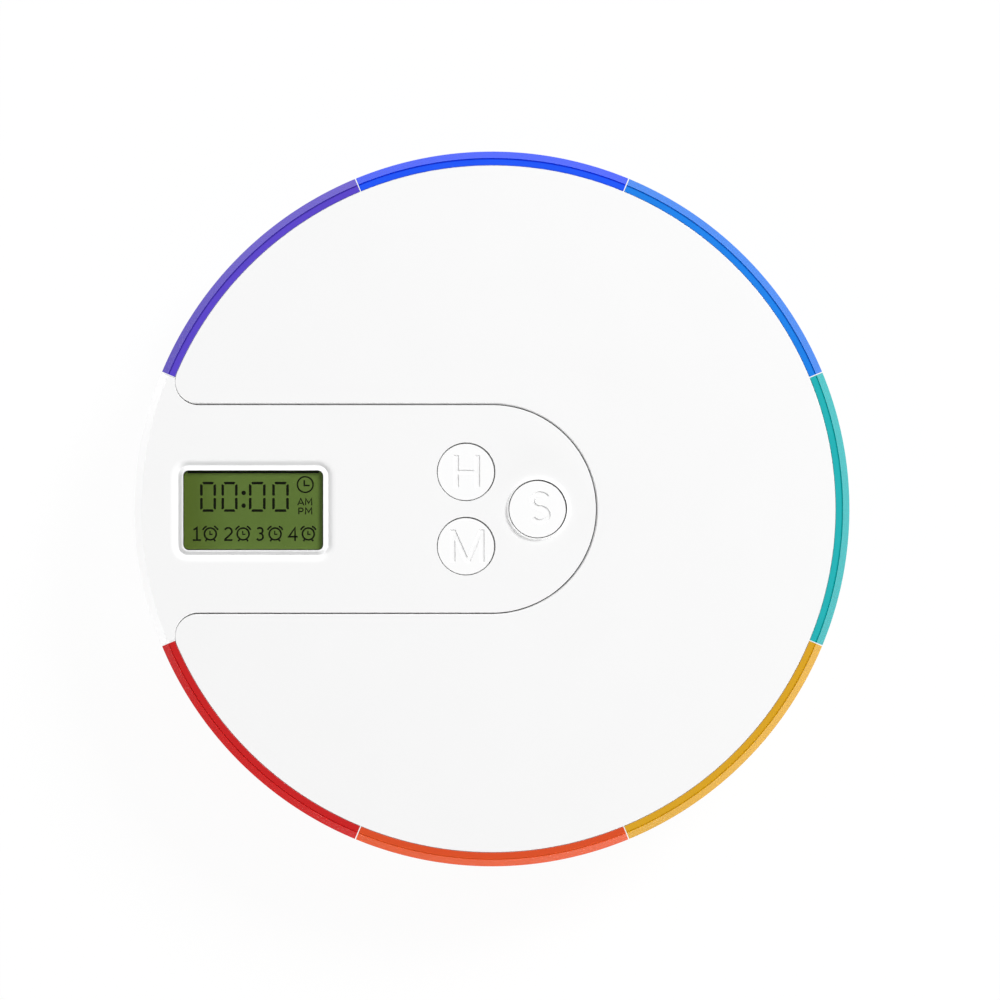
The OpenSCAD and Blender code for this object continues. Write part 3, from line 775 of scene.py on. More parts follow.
@dataclass
class StudioLight:
    """The floor, the lamps, the surroundings and the camera.

    Attributes:
        top_z: Height of the ring's corner, whose size is set by the photograph, in millimetres.
        lamps: The lamps.
        floor_size: Half the floor's width in metres.
        under_feet: Gap between the feet and the floor in millimetres.
        bright_side: Direction of the bright walls, opposite to the dimmest place.
        ambient: Strength of the surroundings for matt surfaces.
        dim_wall: Strength of the walls' dimmest place in gloss.
        bright_wall: Strength of the bright walls in gloss.
        overhead: Share of that strength which is left in the patch overhead.
        patch: How steeply up the patch begins and is full, where 1 is straight up.
        camera_away: Distance of the camera in millimetres.
        photo_px: Width of the photograph in pixels.
        ring_px: Radius of the ring in the photograph in pixels.
        centre_px: Place of the case's axis in the photograph in pixels.
    """

    top_z: float
    lamps: tuple[Lamp, ...] = (
        Lamp("key", 45, 40, 3.0, (0.96, 0.96), 85.0, False),
        Lamp("rim_left", 180, 4, 1.0, (1.2, 0.14), 4.6, False),
        Lamp("rim_front", 270, 4, 1.0, (1.2, 0.14), 8.0, False))
    floor_size: float = 3.0
    under_feet: float = 0.02
    bright_side: tuple[float, float, float] = (0.707, 0.707, 0.0)
    ambient: float = 0.445
    dim_wall: float = 0.1
    bright_wall: float = 1.1
    overhead: float = 0.05
    patch: Point = (0.8, 0.96)
    camera_away: float = 1000.0
    photo_px: float = 1000.0
    ring_px: float = 357.5
    centre_px: Point = (492.07, 508.95)

    def build(self) -> None:
        """Builds all of the studio."""
        self.floor()
        for lamp in self.lamps:
            lamp.build()
        self.surroundings()
        self.camera()
        bpy.context.scene.view_settings.view_transform = "Standard"

    def floor(self) -> None:
        """Lays a wide white floor a hair below the feet."""
        bm = bmesh.new()
        bmesh.ops.create_grid(bm, x_segments=1, y_segments=1, size=self.floor_size)
        bmesh.ops.translate(bm, vec=(0, 0, -self.under_feet * MM), verts=bm.verts)
        mesh = bpy.data.meshes.new("floor")
        bm.to_mesh(mesh)
        bm.free()
        mesh.materials.append(StudioPaper().build())
        floor = bpy.data.objects.new("floor", mesh)
        bpy.context.scene.collection.objects.link(floor)
        floor.visible_glossy = False

    def surroundings(self) -> None:
        """Sets white walls, which gloss shows dimmer at the lower left, with a dark patch overhead."""
        world = bpy.data.worlds.new("studio")
        world.use_nodes = True
        bpy.context.scene.world = world
        tree = world.node_tree
        tree.nodes.clear()
        way = add_node(tree, "TexCoord").outputs["Generated"]
        side = add_node(tree, "VectorMath", {0: way, 1: self.bright_side}, operation="DOT_PRODUCT")
        wall = add_node(tree, "MapRange", {"Value": side, "From Min": -1.0, "From Max": 0.0,
                                           "To Min": self.dim_wall, "To Max": self.bright_wall})
        height = add_node(tree, "SeparateXYZ", {0: way}).outputs["Z"]
        start, end = self.patch
        patch = add_node(tree, "MapRange", {"Value": height, "From Min": start, "From Max": end,
                                            "To Min": 1.0, "To Max": self.overhead},
                         interpolation_type="SMOOTHSTEP")
        room = add_node(tree, "Math", {0: wall, 1: patch}, operation="MULTIPLY")
        glossy = add_node(tree, "LightPath").outputs["Is Glossy Ray"]
        level = add_node(tree, "Mix", {"Factor": glossy, "A": self.ambient, "B": room}, data_type="FLOAT")
        strength = add_node(tree, "Mix", {"Factor": looked_at(tree), "A": level, "B": 1.0},
                            data_type="FLOAT")
        sky = add_node(tree, "Background", {"Color": WHITE, "Strength": strength})
        add_node(tree, "OutputWorld", {"Surface": sky})

    def camera(self) -> None:
        """Looks straight down, with the case's axis and the ring's size as the photograph has them."""
        px_per_mm = self.ring_px / Ring().outer
        data = bpy.data.cameras.new("camera")
        data.lens = px_per_mm * self.camera_away * data.sensor_width / self.photo_px
        cam = bpy.data.objects.new("camera", data)
        x = (self.photo_px / 2 - self.centre_px[0]) / px_per_mm
        y = (self.centre_px[1] - self.photo_px / 2) / px_per_mm
        cam.location = (x * MM, y * MM, (self.top_z + self.camera_away) * MM)
        bpy.context.scene.collection.objects.link(cam)
        bpy.context.scene.camera = cam


@dataclass
class Ring:
    """The ring's section, which the drawers' fronts and the timer's rim share, in millimetres.

    Attributes:
        outer: Its outer radius.
        low: Height of its lower edge.
        top: Height of its flat top.
        thick: Its thickness.
        slope: Width of the sloping edge along its top, which falls at 45 degrees.
        low_slope: Width of the sloping edge along its foot.
        half_gap: Half the gap between two fronts.
        half_angle: Half a sector's angle in degrees.
    """

    outer: float = field(default_factory=lambda: box_mm("drawer_teal")[1].x)
    low: float = field(default_factory=lambda: box_mm("drawer_teal")[0].z)
    top: float = field(default_factory=lambda: box_mm("top_cover")[1].z)
    thick: float = 3.2
    slope: float = 1.7
    low_slope: float = 0.6
    half_gap: float = 0.11
    half_angle: float = 22.5

    @property
    def inner(self) -> float:
        """Radius of the ring's inner face."""
        return self.outer - self.thick

    @property
    def crest(self) -> float:
        """Radius at which the flat top turns into the slope."""
        return self.outer - self.slope

    def rim_at(self, z: float) -> float:
        """Gives the outer radius at a height, with both sloping edges."""
        above = max(0.0, z - (self.top - self.slope))
        below = max(0.0, self.low + self.low_slope - z)
        return self.outer - above - below

    def rim_top(self, radius: float) -> float:
        """Gives the height of the top at a radius, on the flat or on the slope."""
        return self.top - max(0.0, radius - self.crest)


@dataclass
class TopCover:
    """The white cover, with its notch for the timer and round corners at the notch's mouth.

    Attributes:
        material: Its finish.
        radius: Its outer radius.
        low: Height of its lower edge.
        top: Height of its face.
        notch: Half the notch's width.
        mouth: Radius of the corners at the notch's mouth.
        plate: Thickness of its face.
        wall: Thickness of its skirt.
        edge: Width of the bevel along its face.
        foot: Width of the bevel along its lower edge.
        blend: Width of the slope between the skirt and the ceiling.
        sunk: How far the rails and bosses run into it.
        lip: How far its lip reaches over the ring.
        lip_h: Depth of the lip below the face.
        lean: How far the notch's edge leans out.
        lean_h: Depth below the face at which it has leant out.
        rail_x: Ends of the rails that hold the timer down.
        rail_z: Lower and upper height of the rails.
        rail_reach: How far the rails reach into the notch.
        screw_ring: Radius of the circle of screw bosses.
        screw_angles: Angles of the bosses in degrees.
        boss: Radius of a boss.
    """

    material: Material
    radius: float = field(default_factory=lambda: box_mm("top_cover")[1].x)
    low: float = field(default_factory=lambda: box_mm("top_cover")[0].z)
    top: float = field(default_factory=lambda: box_mm("top_cover")[1].z)
    notch: float = field(default_factory=lambda: box_mm("timer_top_shell")[1].x + 0.4)
    mouth: float = 4.9
    plate: float = 1.8
    wall: float = 1.6
    edge: float = 0.12
    foot: float = 0.15
    blend: float = 0.5
    sunk: float = 0.3
    lip: float = 0.33
    lip_h: float = 1.4
    lean: float = 0.2
    lean_h: float = 0.7
    rail_x: Point = (-66.6, -2.0)
    rail_z: Point = (23.3, 24.5)
    rail_reach: float = 0.8
    screw_ring: float = 66.0
    screw_angles: tuple[float, ...] = (-130, -80, -30, 30, 80, 130)
    boss: float = 3.0

    def outline(self, rim: float, notch: float) -> list[Point]:
        """Gives the cover's plan, grown by one amount at its rim and another in its notch.

        Args:
            rim: How far the round outside moves outwards.
            notch: How far the notch's edge moves into the notch.

        Returns:
            The outline, anticlockwise.
        """
        radius, half, mouth = self.radius + rim, self.notch - notch, self.mouth + notch
        cy = half + mouth
        cx = -math.sqrt((radius - mouth) ** 2 - cy ** 2)
        beta = math.degrees(math.atan2(cy, -cx))
        outside = arc(radius, beta - 180, 180 - beta, 240)
        upper = arc(mouth, 180 - beta, 270, 14, (cx, cy))[1:]
        end = arc(half, 90, -90, 72)
        lower = arc(mouth, 90, 180 + beta, 14, (cx, -cy))[:-1]
        return outside + upper + end + lower

    def outside(self) -> list[Level]:
        """Gives the outer wall, with the lip that closes on the ring and the notch's leaning edge.

        The lip narrows the gap that the eye sees from above, and the notch's edge leans out below
        the top, so that light falls into the groove round the timer.
        """
        lip, lean, top = self.lip, self.lean, self.top
        return [(self.outline(-self.foot, -self.foot), self.low), (self.outline(0, 0), self.low + self.foot),
                (self.outline(0, 0), top - self.lip_h - lean), (self.outline(lip, lean), top - self.lip_h),
                (self.outline(lip, lean), top - self.lean_h), (self.outline(lip, 0), top - self.edge),
                (self.outline(lip - self.edge, -self.edge), top)]

    def inside(self) -> list[Level]:
        """Gives the inner wall up to the ceiling."""
        under, blend = self.top - self.plate, self.blend
        return [(self.outline(-self.foot, -self.foot), self.low),
                (self.outline(self.foot - self.wall, self.foot - self.wall), self.low),
                (self.outline(-self.wall, -self.wall), self.low + self.foot),
                (self.outline(-self.wall, -self.wall), under - blend),
                (self.outline(-self.wall - blend, -self.wall - blend), under)]

    def build(self) -> None:
        """Builds the cover with its skirt, screw bosses and the timer's rails."""
        made = Moulding()
        _, top = made.wall(self.outside())
        made.cap(top)
        _, ceiling = made.wall(self.inside())
        made.cap(ceiling)
        for side in (-1, 1):
            ys = sorted((side * (self.notch - self.rail_reach), side * (self.notch + self.sunk)))
            low, high = zip(self.rail_x, ys, self.rail_z)
            made.bar(low, high, self.foot)
        for angle in self.screw_angles:
            made.post(polar(self.screw_ring, angle), self.boss, self.low, self.top - self.plate + self.sunk)
        place(made.to_object("cover_shell"), "housing", self.material, ["top_cover"])


@dataclass
class Drawer:
    """A wedge drawer in one moulding: curved front, tub with round inner corners, and runners.

    Attributes:
        ring: The ring, whose section the front has.
        tub_in: Radius of the tub's inner end.
        tub_low: Height of the tub's underside.
        tub_top: Height of the tub's upper edge.
        inset: Distance from the sector's edge to the tub's side.
        wall: Thickness of the tub's walls.
        floor: Thickness of the tub's floor.
        fillet: Radius of the fillet round the tub's floor.
        front_fillet: Share of that fillet along the front.
        foot_edge: Width of the bevel along the tub's underside.
        top_edge: Width of the bevel along the tub's upper edge.
        sunk: How far the tub runs into the front.
        room_gap: How far the room is cut into the front.
        above: How far the room's cutter reaches over the tub.
        runner_u: Radius at which the runners start.
        runner_v: Distances of a runner's two sides from the drawer's middle.
        runner_end: How far the runners run into the front.
        runner_sunk: How far the runners run into the tub.
        groove: Radius of the fine groove along the front's top.
        groove_half: Half the groove's width.
        groove_depth: Depth of the groove below the flat top.
        soft: Width of the bevel on the front's section.
        end_edge: Width of the bevel round the front's two ends.
    """

    ring: Ring
    tub_in: float = field(default_factory=lambda: box_mm("drawer_teal")[0].x)
    tub_low: float = 4.9
    tub_top: float = 19.3
    inset: float = 1.0
    wall: float = 1.4
    floor: float = 1.5
    fillet: float = 1.6
    front_fillet: float = 0.6
    foot_edge: float = 0.35
    top_edge: float = 0.25
    sunk: float = 0.6
    room_gap: float = 0.06
    above: float = 2.0
    runner_u: float = 23.0
    runner_v: Point = (2.4, 3.6)
    runner_end: float = 0.4
    runner_sunk: float = 0.3
    groove: float = GROOVE
    groove_half: float = 0.16
    groove_depth: float = 0.27
    soft: float = 0.12
    end_edge: float = 0.05

    def plan(self, inset: float, near: float, far: float) -> list[Point]:
        """Gives the wedge's plan about +X.

        Args:
            inset: How far the straight sides lie inside the sector's edge.
            near: Radius of the inner end.
            far: Radius of the outer end.

        Returns:
            The outline, anticlockwise.
        """
        half = self.ring.half_angle
        turn_far = half - math.degrees(math.asin(inset / far))
        turn_near = half - math.degrees(math.asin(inset / near))
        return arc(far, -turn_far, turn_far, 40) + arc(near, turn_near, -turn_near, 12)

    def front(self) -> Piece:
        """Spins the front's section, with the sloping edges and a fine groove, through the sector."""
        ring, inside, outside = self.ring, self.groove - self.groove_half, self.groove + self.groove_half
        section = [(ring.inner, ring.low), (ring.outer - ring.low_slope, ring.low),
                   (ring.outer, ring.low + ring.low_slope), (ring.outer, ring.top - ring.slope),
                   (outside, ring.rim_top(outside)), (self.groove, ring.top - self.groove_depth),
                   (inside, ring.top), (ring.inner, ring.top)]
        made = Moulding()
        bm = made.bm
        verts = [bm.verts.new((r, 0, z)) for r, z in section]
        bm.faces.new(verts)
        bmesh.ops.bevel(bm, geom=[verts[i] for i in (0, 1, 2, 3, 7)], offset=self.soft, affect="VERTICES",
                        segments=3, profile=0.5, material=-1, clamp_overlap=True)
        half = math.radians(ring.half_angle) - math.asin(ring.half_gap / ring.inner)
        bmesh.ops.rotate(bm, cent=(0, 0, 0), matrix=Matrix.Rotation(-half, 3, "Z"), verts=bm.verts)
        bmesh.ops.spin(bm, geom=[*bm.faces, *bm.edges, *bm.verts], cent=(0, 0, 0), axis=(0, 0, 1),
                       angle=2 * half, steps=56, use_merge=False, use_duplicate=False)
        bmesh.ops.remove_doubles(bm, verts=bm.verts, dist=1e-4)
        ends = [f for f in bm.faces if len(f.verts) > 4]
        rim = list({e for f in ends for e in f.edges})
        bmesh.ops.bevel(bm, geom=rim, offset=self.end_edge, affect="EDGES", segments=2, profile=0.5,
                        material=-1, clamp_overlap=True)
        return made.to_object("drawer_front")

    def tub(self) -> Piece:
        """Builds the tub as a block, which reaches into the front."""
        near, far = self.tub_in, self.ring.inner + self.sunk
        levels = [(self.foot_edge, self.tub_low), (0.0, self.tub_low + self.foot_edge),
                  (0.0, self.tub_top - self.top_edge), (self.top_edge, self.tub_top)]
        made = Moulding().solid([(self.plan(self.inset + back, near + back, far), z) for back, z in levels])
        return made.to_object("drawer_block")

    def room(self) -> Piece:
        """Builds the room that is cut from the tub, with a fillet round its floor."""
        inset, near = self.inset + self.wall, self.tub_in + self.wall
        far, low = self.ring.inner + self.room_gap, self.tub_low + self.floor
        levels = []
        for step in range(5):
            turn = math.radians(90 * step / 4)
            back = self.fillet * (1 - math.sin(turn))
            plan = self.plan(inset + back, near + back, far - back * self.front_fillet)
            levels.append((plan, low + self.fillet * (1 - math.cos(turn))))
        for back, z in ((0.0, self.tub_top - self.top_edge), (self.top_edge, self.tub_top),
                        (self.top_edge, self.tub_top + self.above)):
            levels.append((self.plan(inset - back, near - back, far), z))
        return Moulding().solid(levels).to_object("drawer_room")

    def runners(self) -> Piece:
        """Builds the two runners and the end stop between them, both sunk into their neighbours."""
        inner, outer = self.runner_v
        start, end = self.runner_u, self.ring.inner + self.runner_end
        stop = start + outer - inner
        plan = [(start, -outer), (end, -outer), (end, -inner), (stop, -inner),
                (stop, inner), (end, inner), (end, outer), (start, outer)]
        made = Moulding().solid([(plan, self.ring.low), (plan, self.tub_low + self.runner_sunk)])
        return made.to_object("drawer_runners")

    def build(self) -> Piece:
        """Fuses front, tub and runners to one moulding about +X."""
        whole = combine(self.tub(), self.room(), Join.CUT)
        whole = combine(whole, self.runners(), Join.ADD)
        return combine(self.front(), whole, Join.ADD)


@dataclass
class DrawerSet:
    """The seven drawers, one a day, clockwise from the timer."""

    ring: Ring
    # each day's colour, and the darker colour painted as shade along the top's line and on the slope
    colours: dict[str, tuple[str, str]] = field(default_factory=lambda: {
        "violet": ("#5f49d1", "#4a35b4"), "blue": ("#205bff", "#0036dc"), "azure": ("#1f88f2", "#0066c8"),
        "teal": ("#26b9bd", "#00a3a5"), "amber": ("#e0a925", "#d49f04"), "orange": ("#e15127", "#e65c28"),
        "red": ("#ce2223", "#d21e1e")})

    def build(self) -> None:
        """Builds one drawer and sets a copy of it in every bay."""
        first = Drawer(self.ring).build()
        sector = 2 * self.ring.half_angle
        for index, (day, (colour, painted_shade_and_cloud)) in enumerate(self.colours.items()):
            made = copy_turned(first, f"{day}_tub", 180 - sector * (index + 1))
            finish = TintedPolystyrene(f"clear_{day}_polystyrene", colour, painted_shade_and_cloud).build()
            place(made, f"{day}_drawer", finish, [f"drawer_{day}"])
        bpy.data.objects.remove(first)


@dataclass
class Timer:
    """The slide-out timer's top: flat tongue, rim, display frame, button holes and collar.

    Attributes:
        ring: The ring, whose section the rim has.
        material: Its finish.
        cover: The cover, whose notch the tongue fills.
        slot_gap: Gap between the tongue and the cover.
        ledge: Height of the tongue's underside.
        cavity: Half the width of its inside.
        cavity_end: Where its inside ends towards the rim.
        roof: Height of the ceiling of its inside.
        edge: Radius of the round edge along its face.
        window: Width and height of the display's opening.
        window_corner: Radius of the opening's corners.
        hole: Radius of a button hole.
        hole_lean: How much a hole narrows below its edge.
        hole_lean_h: Depth over which it narrows.
        post_r: Radius of a screw post.
        post_sunk: How far a post runs into the ceiling.
        posts: Places of the screw posts.
    """

    ring: Ring
    material: Material
    cover: TopCover
    slot_gap: float = 0.4
    ledge: float = field(default_factory=lambda: box_mm("timer_back_shell")[1].z)
    cavity: float = 21.6
    cavity_end: float = -74.5
    roof: float = 28.4
    edge: float = 0.12
    window: Point = WINDOW
    window_corner: float = 1.2
    hole: float = 6.55
    hole_lean: float = 0.04
    hole_lean_h: float = 0.5
    post_r: float = 2.4
    post_sunk: float = 0.3
    posts: tuple[Point, ...] = ((-67, 18), (-67, -18), (11.5, 13.5), (11.5, -13.5))

    def side_point(self, radius: float, grow: float) -> Point:
        """Gives the point at a radius on the rim's upper end face."""
        inset = self.ring.half_gap - grow
        turn = 180 - self.ring.half_angle + math.degrees(math.asin(inset / radius))
        return polar(radius, turn)

    def rim_chain(self, grow: float, z: float) -> list[Point]:
        """Gives the rim's part of the plan, from its upper shoulder round the outside to the lower one."""
        rim = self.ring.rim_at(z)
        shoulder = self.side_point(self.ring.inner, grow)
        corner = self.side_point(rim, grow)
        turn = math.degrees(math.atan2(corner[1], corner[0]))
        outer = arc(rim, turn, 360 - turn, 64)
        return [shoulder, *outer, (shoulder[0], -shoulder[1])]

    def tongue_chain(self, grow: float) -> list[Point]:
        """Gives the tongue's part of the plan, from the lower shoulder to the upper one, ends left out."""
        back = self.slot_gap - grow
        radius, half, mouth = self.cover.radius + back, self.cover.notch - back, self.cover.mouth + back
        cy = half + mouth
        cx = -math.sqrt((radius - mouth) ** 2 - cy ** 2)
        side = math.radians(180 - self.ring.half_angle)
        along, across = Vector((math.cos(side), math.sin(side))), Vector((-math.sin(side), math.cos(side)))
        centre = Vector((cx, cy))
        off = self.ring.half_gap - grow - centre.dot(across)
        hit = (centre.dot(along) + math.sqrt(mouth ** 2 - off ** 2)) * along
        hit += (self.ring.half_gap - grow) * across
        turn = math.degrees(math.atan2(hit.y - cy, hit.x - cx)) % 360
        upper = arc(mouth, 270, turn, 14, (cx, cy))
        lower = [(x, -y) for x, y in reversed(upper)]
        return lower + arc(half, -90, 90, 72) + upper

    def plan(self, grow: float, z: float) -> list[Point]:
        """Gives the whole plan at a height."""
        return self.rim_chain(grow, z) + self.tongue_chain(grow)

    def opening(self, grow: float) -> list[Point]:
        """Gives the window's opening, grown by an even amount."""
        width, height = self.window
        return round_rect(width + 2 * grow, height + 2 * grow, self.window_corner + grow,
                          middle("display_window"))

    def build(self) -> None:
        """Builds the top shell."""
        ring, top = self.ring, self.ring.top
        made = Moulding()
        slope_z = top - ring.slope
        levels = [(self.plan(0, self.ledge), self.ledge), (self.plan(0, slope_z), slope_z)]
        for step in range(4):
            turn = math.radians(30 * step)
            z = top - self.edge * (1 - math.sin(turn))
            levels.append((self.plan(-self.edge * (1 - math.cos(turn)), z), z))
        _, face = made.wall(levels)
        dish = [(3.05, 0.0), (2.7, 0.02), (2.35, 0.08), (2.0, 0.18), (1.75, 0.3), (1.5, 0.46), (1.33, 0.62),
                (1.2, 0.75), (1.1, 0.78), (1.02, 0.74), (0.2, 0.03), (0.13, 0.0), (0.06, 0.02), (0.0, 0.2)]
        dish_face, window = made.wall([(self.opening(g), top - d) for g, d in dish]
                                      + [(self.opening(0), self.roof)])
        faces, ceilings = [face, dish_face], [window]
        for name in ("hour", "minute", "set"):
            outer, inner = self.button_hole(made, middle(f"{name}_button"), name == "set")
            faces.append(outer)
            ceilings.append(inner)
        made.cap(*faces)
        cavity_plan = self.cavity_plan()
        mouth, ceiling = made.wall([(cavity_plan, self.ledge), (cavity_plan, self.roof)])
        made.cap(ceiling, *ceilings)
        self.rim_wall(made, mouth)
        for at in self.posts:
            made.post(at, self.post_r, box_mm("circuit_board")[1].z, self.roof + self.post_sunk)
        place(made.to_object("timer_shell"), "timer", self.material, ["timer_top_shell"])

    def button_hole(self, made: Moulding, at: Point, raised: bool) -> tuple[Loop, Loop]:
        """Makes one button hole, with the raised collar round the set button.

        Args:
            made: Moulding that the hole goes into.
            at: Centre of the hole.
            raised: Whether the hole has the collar.

        Returns:
            The loop in the top face and the loop in the ceiling below it.
        """
        hole = self.hole
        face = self.ring.top
        if raised:
            section = [(1.1, 0.0), (0.8, 0.02), (0.55, 0.06), (0.36, 0.14), (0.18, 0.5), (0.14, 0.62),
                       (0.1, 0.67), (0.06, 0.69), (0.03, 0.69), (0.0, 0.65)]
        else:
            section = [(0.08, 0.0), (0.02, -0.03), (0.0, -0.08)]
        levels = [(circle(hole + r, 120, at), face + z) for r, z in section]
        neck = circle(hole - self.hole_lean, 120, at)
        levels.append((neck, levels[-1][1] - self.hole_lean_h))
        return made.wall(levels + [(neck, self.roof)])

    def cavity_plan(self) -> list[Point]:
        """Gives the plan of the timer's inside."""
        half, end = self.cavity, self.cavity_end
        return arc(half, -90, 90, 60) + [(end, half), (end, -half)]

    def rim_wall(self, made: Moulding, mouth: Loop) -> None:
        """Closes the tongue's underside and hangs the rim's wall below it.

        Args:
            made: Moulding of the top shell.
            mouth: Loop of the cavity at the ledge's height.
        """
        ring, z = self.ring, self.ledge
        shoulder = self.side_point(ring.inner, 0)
        turn = math.degrees(math.atan2(shoulder[1], shoulder[0]))
        inner = arc(ring.inner, 360 - turn, turn, 64)
        tongue = made.loop(inner + self.tongue_chain(0)[::-1], z)
        made.cap(tongue, mouth)
        levels = [z, ring.low + ring.low_slope, ring.low]
        _, low = made.wall([(self.rim_chain(0, at) + inner[1:-1], at) for at in levels])
        made.cap(low)


@dataclass
class Button:
    """A push button with a round edge and a hidden flange, which rests a hair off its hole's centre.

    Attributes:
        name: Which button it is.
        rest: How far it rests off the centre, along X and along Y.
        radius: Its radius.
        flange: Radius of the flange that keeps it in its hole.
        flange_t: Thickness of the flange.
        recess: Radius of the recess under it, for the switch.
        recess_h: Depth of the recess.
        edge: Radius of its round edge.
    """

    name: str
    rest: float = 0.06
    radius: float = 6.3
    flange: float = 7.05
    flange_t: float = 0.8
    recess: float = 5.1
    recess_h: float = 0.42
    edge: float = 0.06

    @property
    def at(self) -> Point:
        """Centre of the button."""
        x, y = middle(f"{self.name}_button")
        return x - self.rest, y - self.rest

    def build(self) -> Piece:
        """Builds the button."""
        low, high = box_mm(f"{self.name}_button")
        top, step = high.z, low.z + self.flange_t
        flange = self.flange - self.rest * math.sqrt(2)
        section = [(self.recess, low.z + self.recess_h), (self.recess, low.z), (flange, low.z),
                   (flange, step), (self.radius, step)]
        section += [(self.radius - self.edge * (1 - math.cos(a)), top - self.edge * (1 - math.sin(a)))
                    for a in (math.radians(30 * i) for i in range(4))]
        made = Moulding().solid([(circle(r, 120, self.at), z) for r, z in section])
        return made.to_object(f"{self.name}_cap")


def slant(foot: Point, head: Point, width: float, inset: float) -> list[Point]:
    """Gives an upright or slanting stroke with level ends.

    Args:
        foot: Middle of its lower end.
        head: Middle of its upper end.
        width: Its width, across its own direction.
        inset: How far the outline lies inside the stroke's edge.

    Returns:
        The four corners.
    """
    lean = (head[0] - foot[0]) / (head[1] - foot[1])
    half = (width / 2 - inset) * math.hypot(1, lean)
    low, high = foot[1] + inset, head[1] - inset
    x0, x1 = foot[0] + inset * lean, head[0] - inset * lean
    return [(x0 - half, low), (x0 + half, low), (x1 + half, high), (x1 - half, high)]


class Letter(Enum):
    """The buttons' marks, in millimetres from the button's centre."""

    HOUR = "hour"
    MINUTE = "minute"
    SET = "set"

    def outlines(self, inset: float) -> list[list[Point]]:
        """Gives the outlines of the mark's strokes.

        Args:
            inset: How far the outlines lie inside the strokes' edges.

        Returns:
            One outline for each stroke.
        """
        if self is Letter.HOUR:
            x, mid, low, high, wide, bar = 2.36, 0.24, -3.44, 3.81, 1.2, 1.05
            sides = [slant((mid + s * x, low), (mid + s * x, high), wide, inset) for s in (-1, 1)]
            return [*sides, slant((mid, -bar / 2), (mid, bar / 2), 2 * x, inset)]
        if self is Letter.MINUTE:
            x, mid, low, high, wide, thin = 3.25, 0.38, -3.54, 3.81, 1.15, 1.05
            sides = [slant((mid + s * x, low), (mid + s * x, high), wide, inset) for s in (-1, 1)]
            return sides + [slant((mid, low), (mid + s * x, high), thin, inset) for s in (-1, 1)]
        cx, cy, rx, ry, wide, steps = 0.61, 0.34, 1.75, 1.56, 1.15, 24
        upper = [(cx + rx * math.cos(a), cy + ry + ry * math.sin(a))
                 for a in (math.radians(28 + (270 - 28) * i / steps) for i in range(steps + 1))]
        lower = [(2 * cx - x, 2 * cy - y) for x, y in reversed(upper)]
        return [ribbon(upper + lower[1:], wide - 2 * inset)]


@dataclass
class Keys:
    """The three push buttons with their engraved marks.

    Attributes:
        material: Their finish.
        depth: Depth of the marks.
        lean: How far the marks' walls lean in.
        above: How far the marks' cutter reaches over the button.
    """

    material: Material
    depth: float = 0.26
    lean: float = 0.11
    above: float = 1.0

    def build(self) -> None:
        """Builds each button and cuts its mark into its top, with leaning walls."""
        for letter in Letter:
            button = Button(letter.value)
            cap = button.build()
            top = box_mm(f"{letter.value}_button")[1].z
            for pair in zip(letter.outlines(0), letter.outlines(self.lean)):
                face, floor = ([(button.at[0] + x, button.at[1] + y) for x, y in line] for line in pair)
                tool = Moulding().solid([(floor, top - self.depth), (face, top), (face, top + self.above)])
                cap = combine(cap, tool.to_object("mark"), Join.CUT)
            place(cap, f"{letter.value}_key", self.material, [f"{letter.value}_button"])


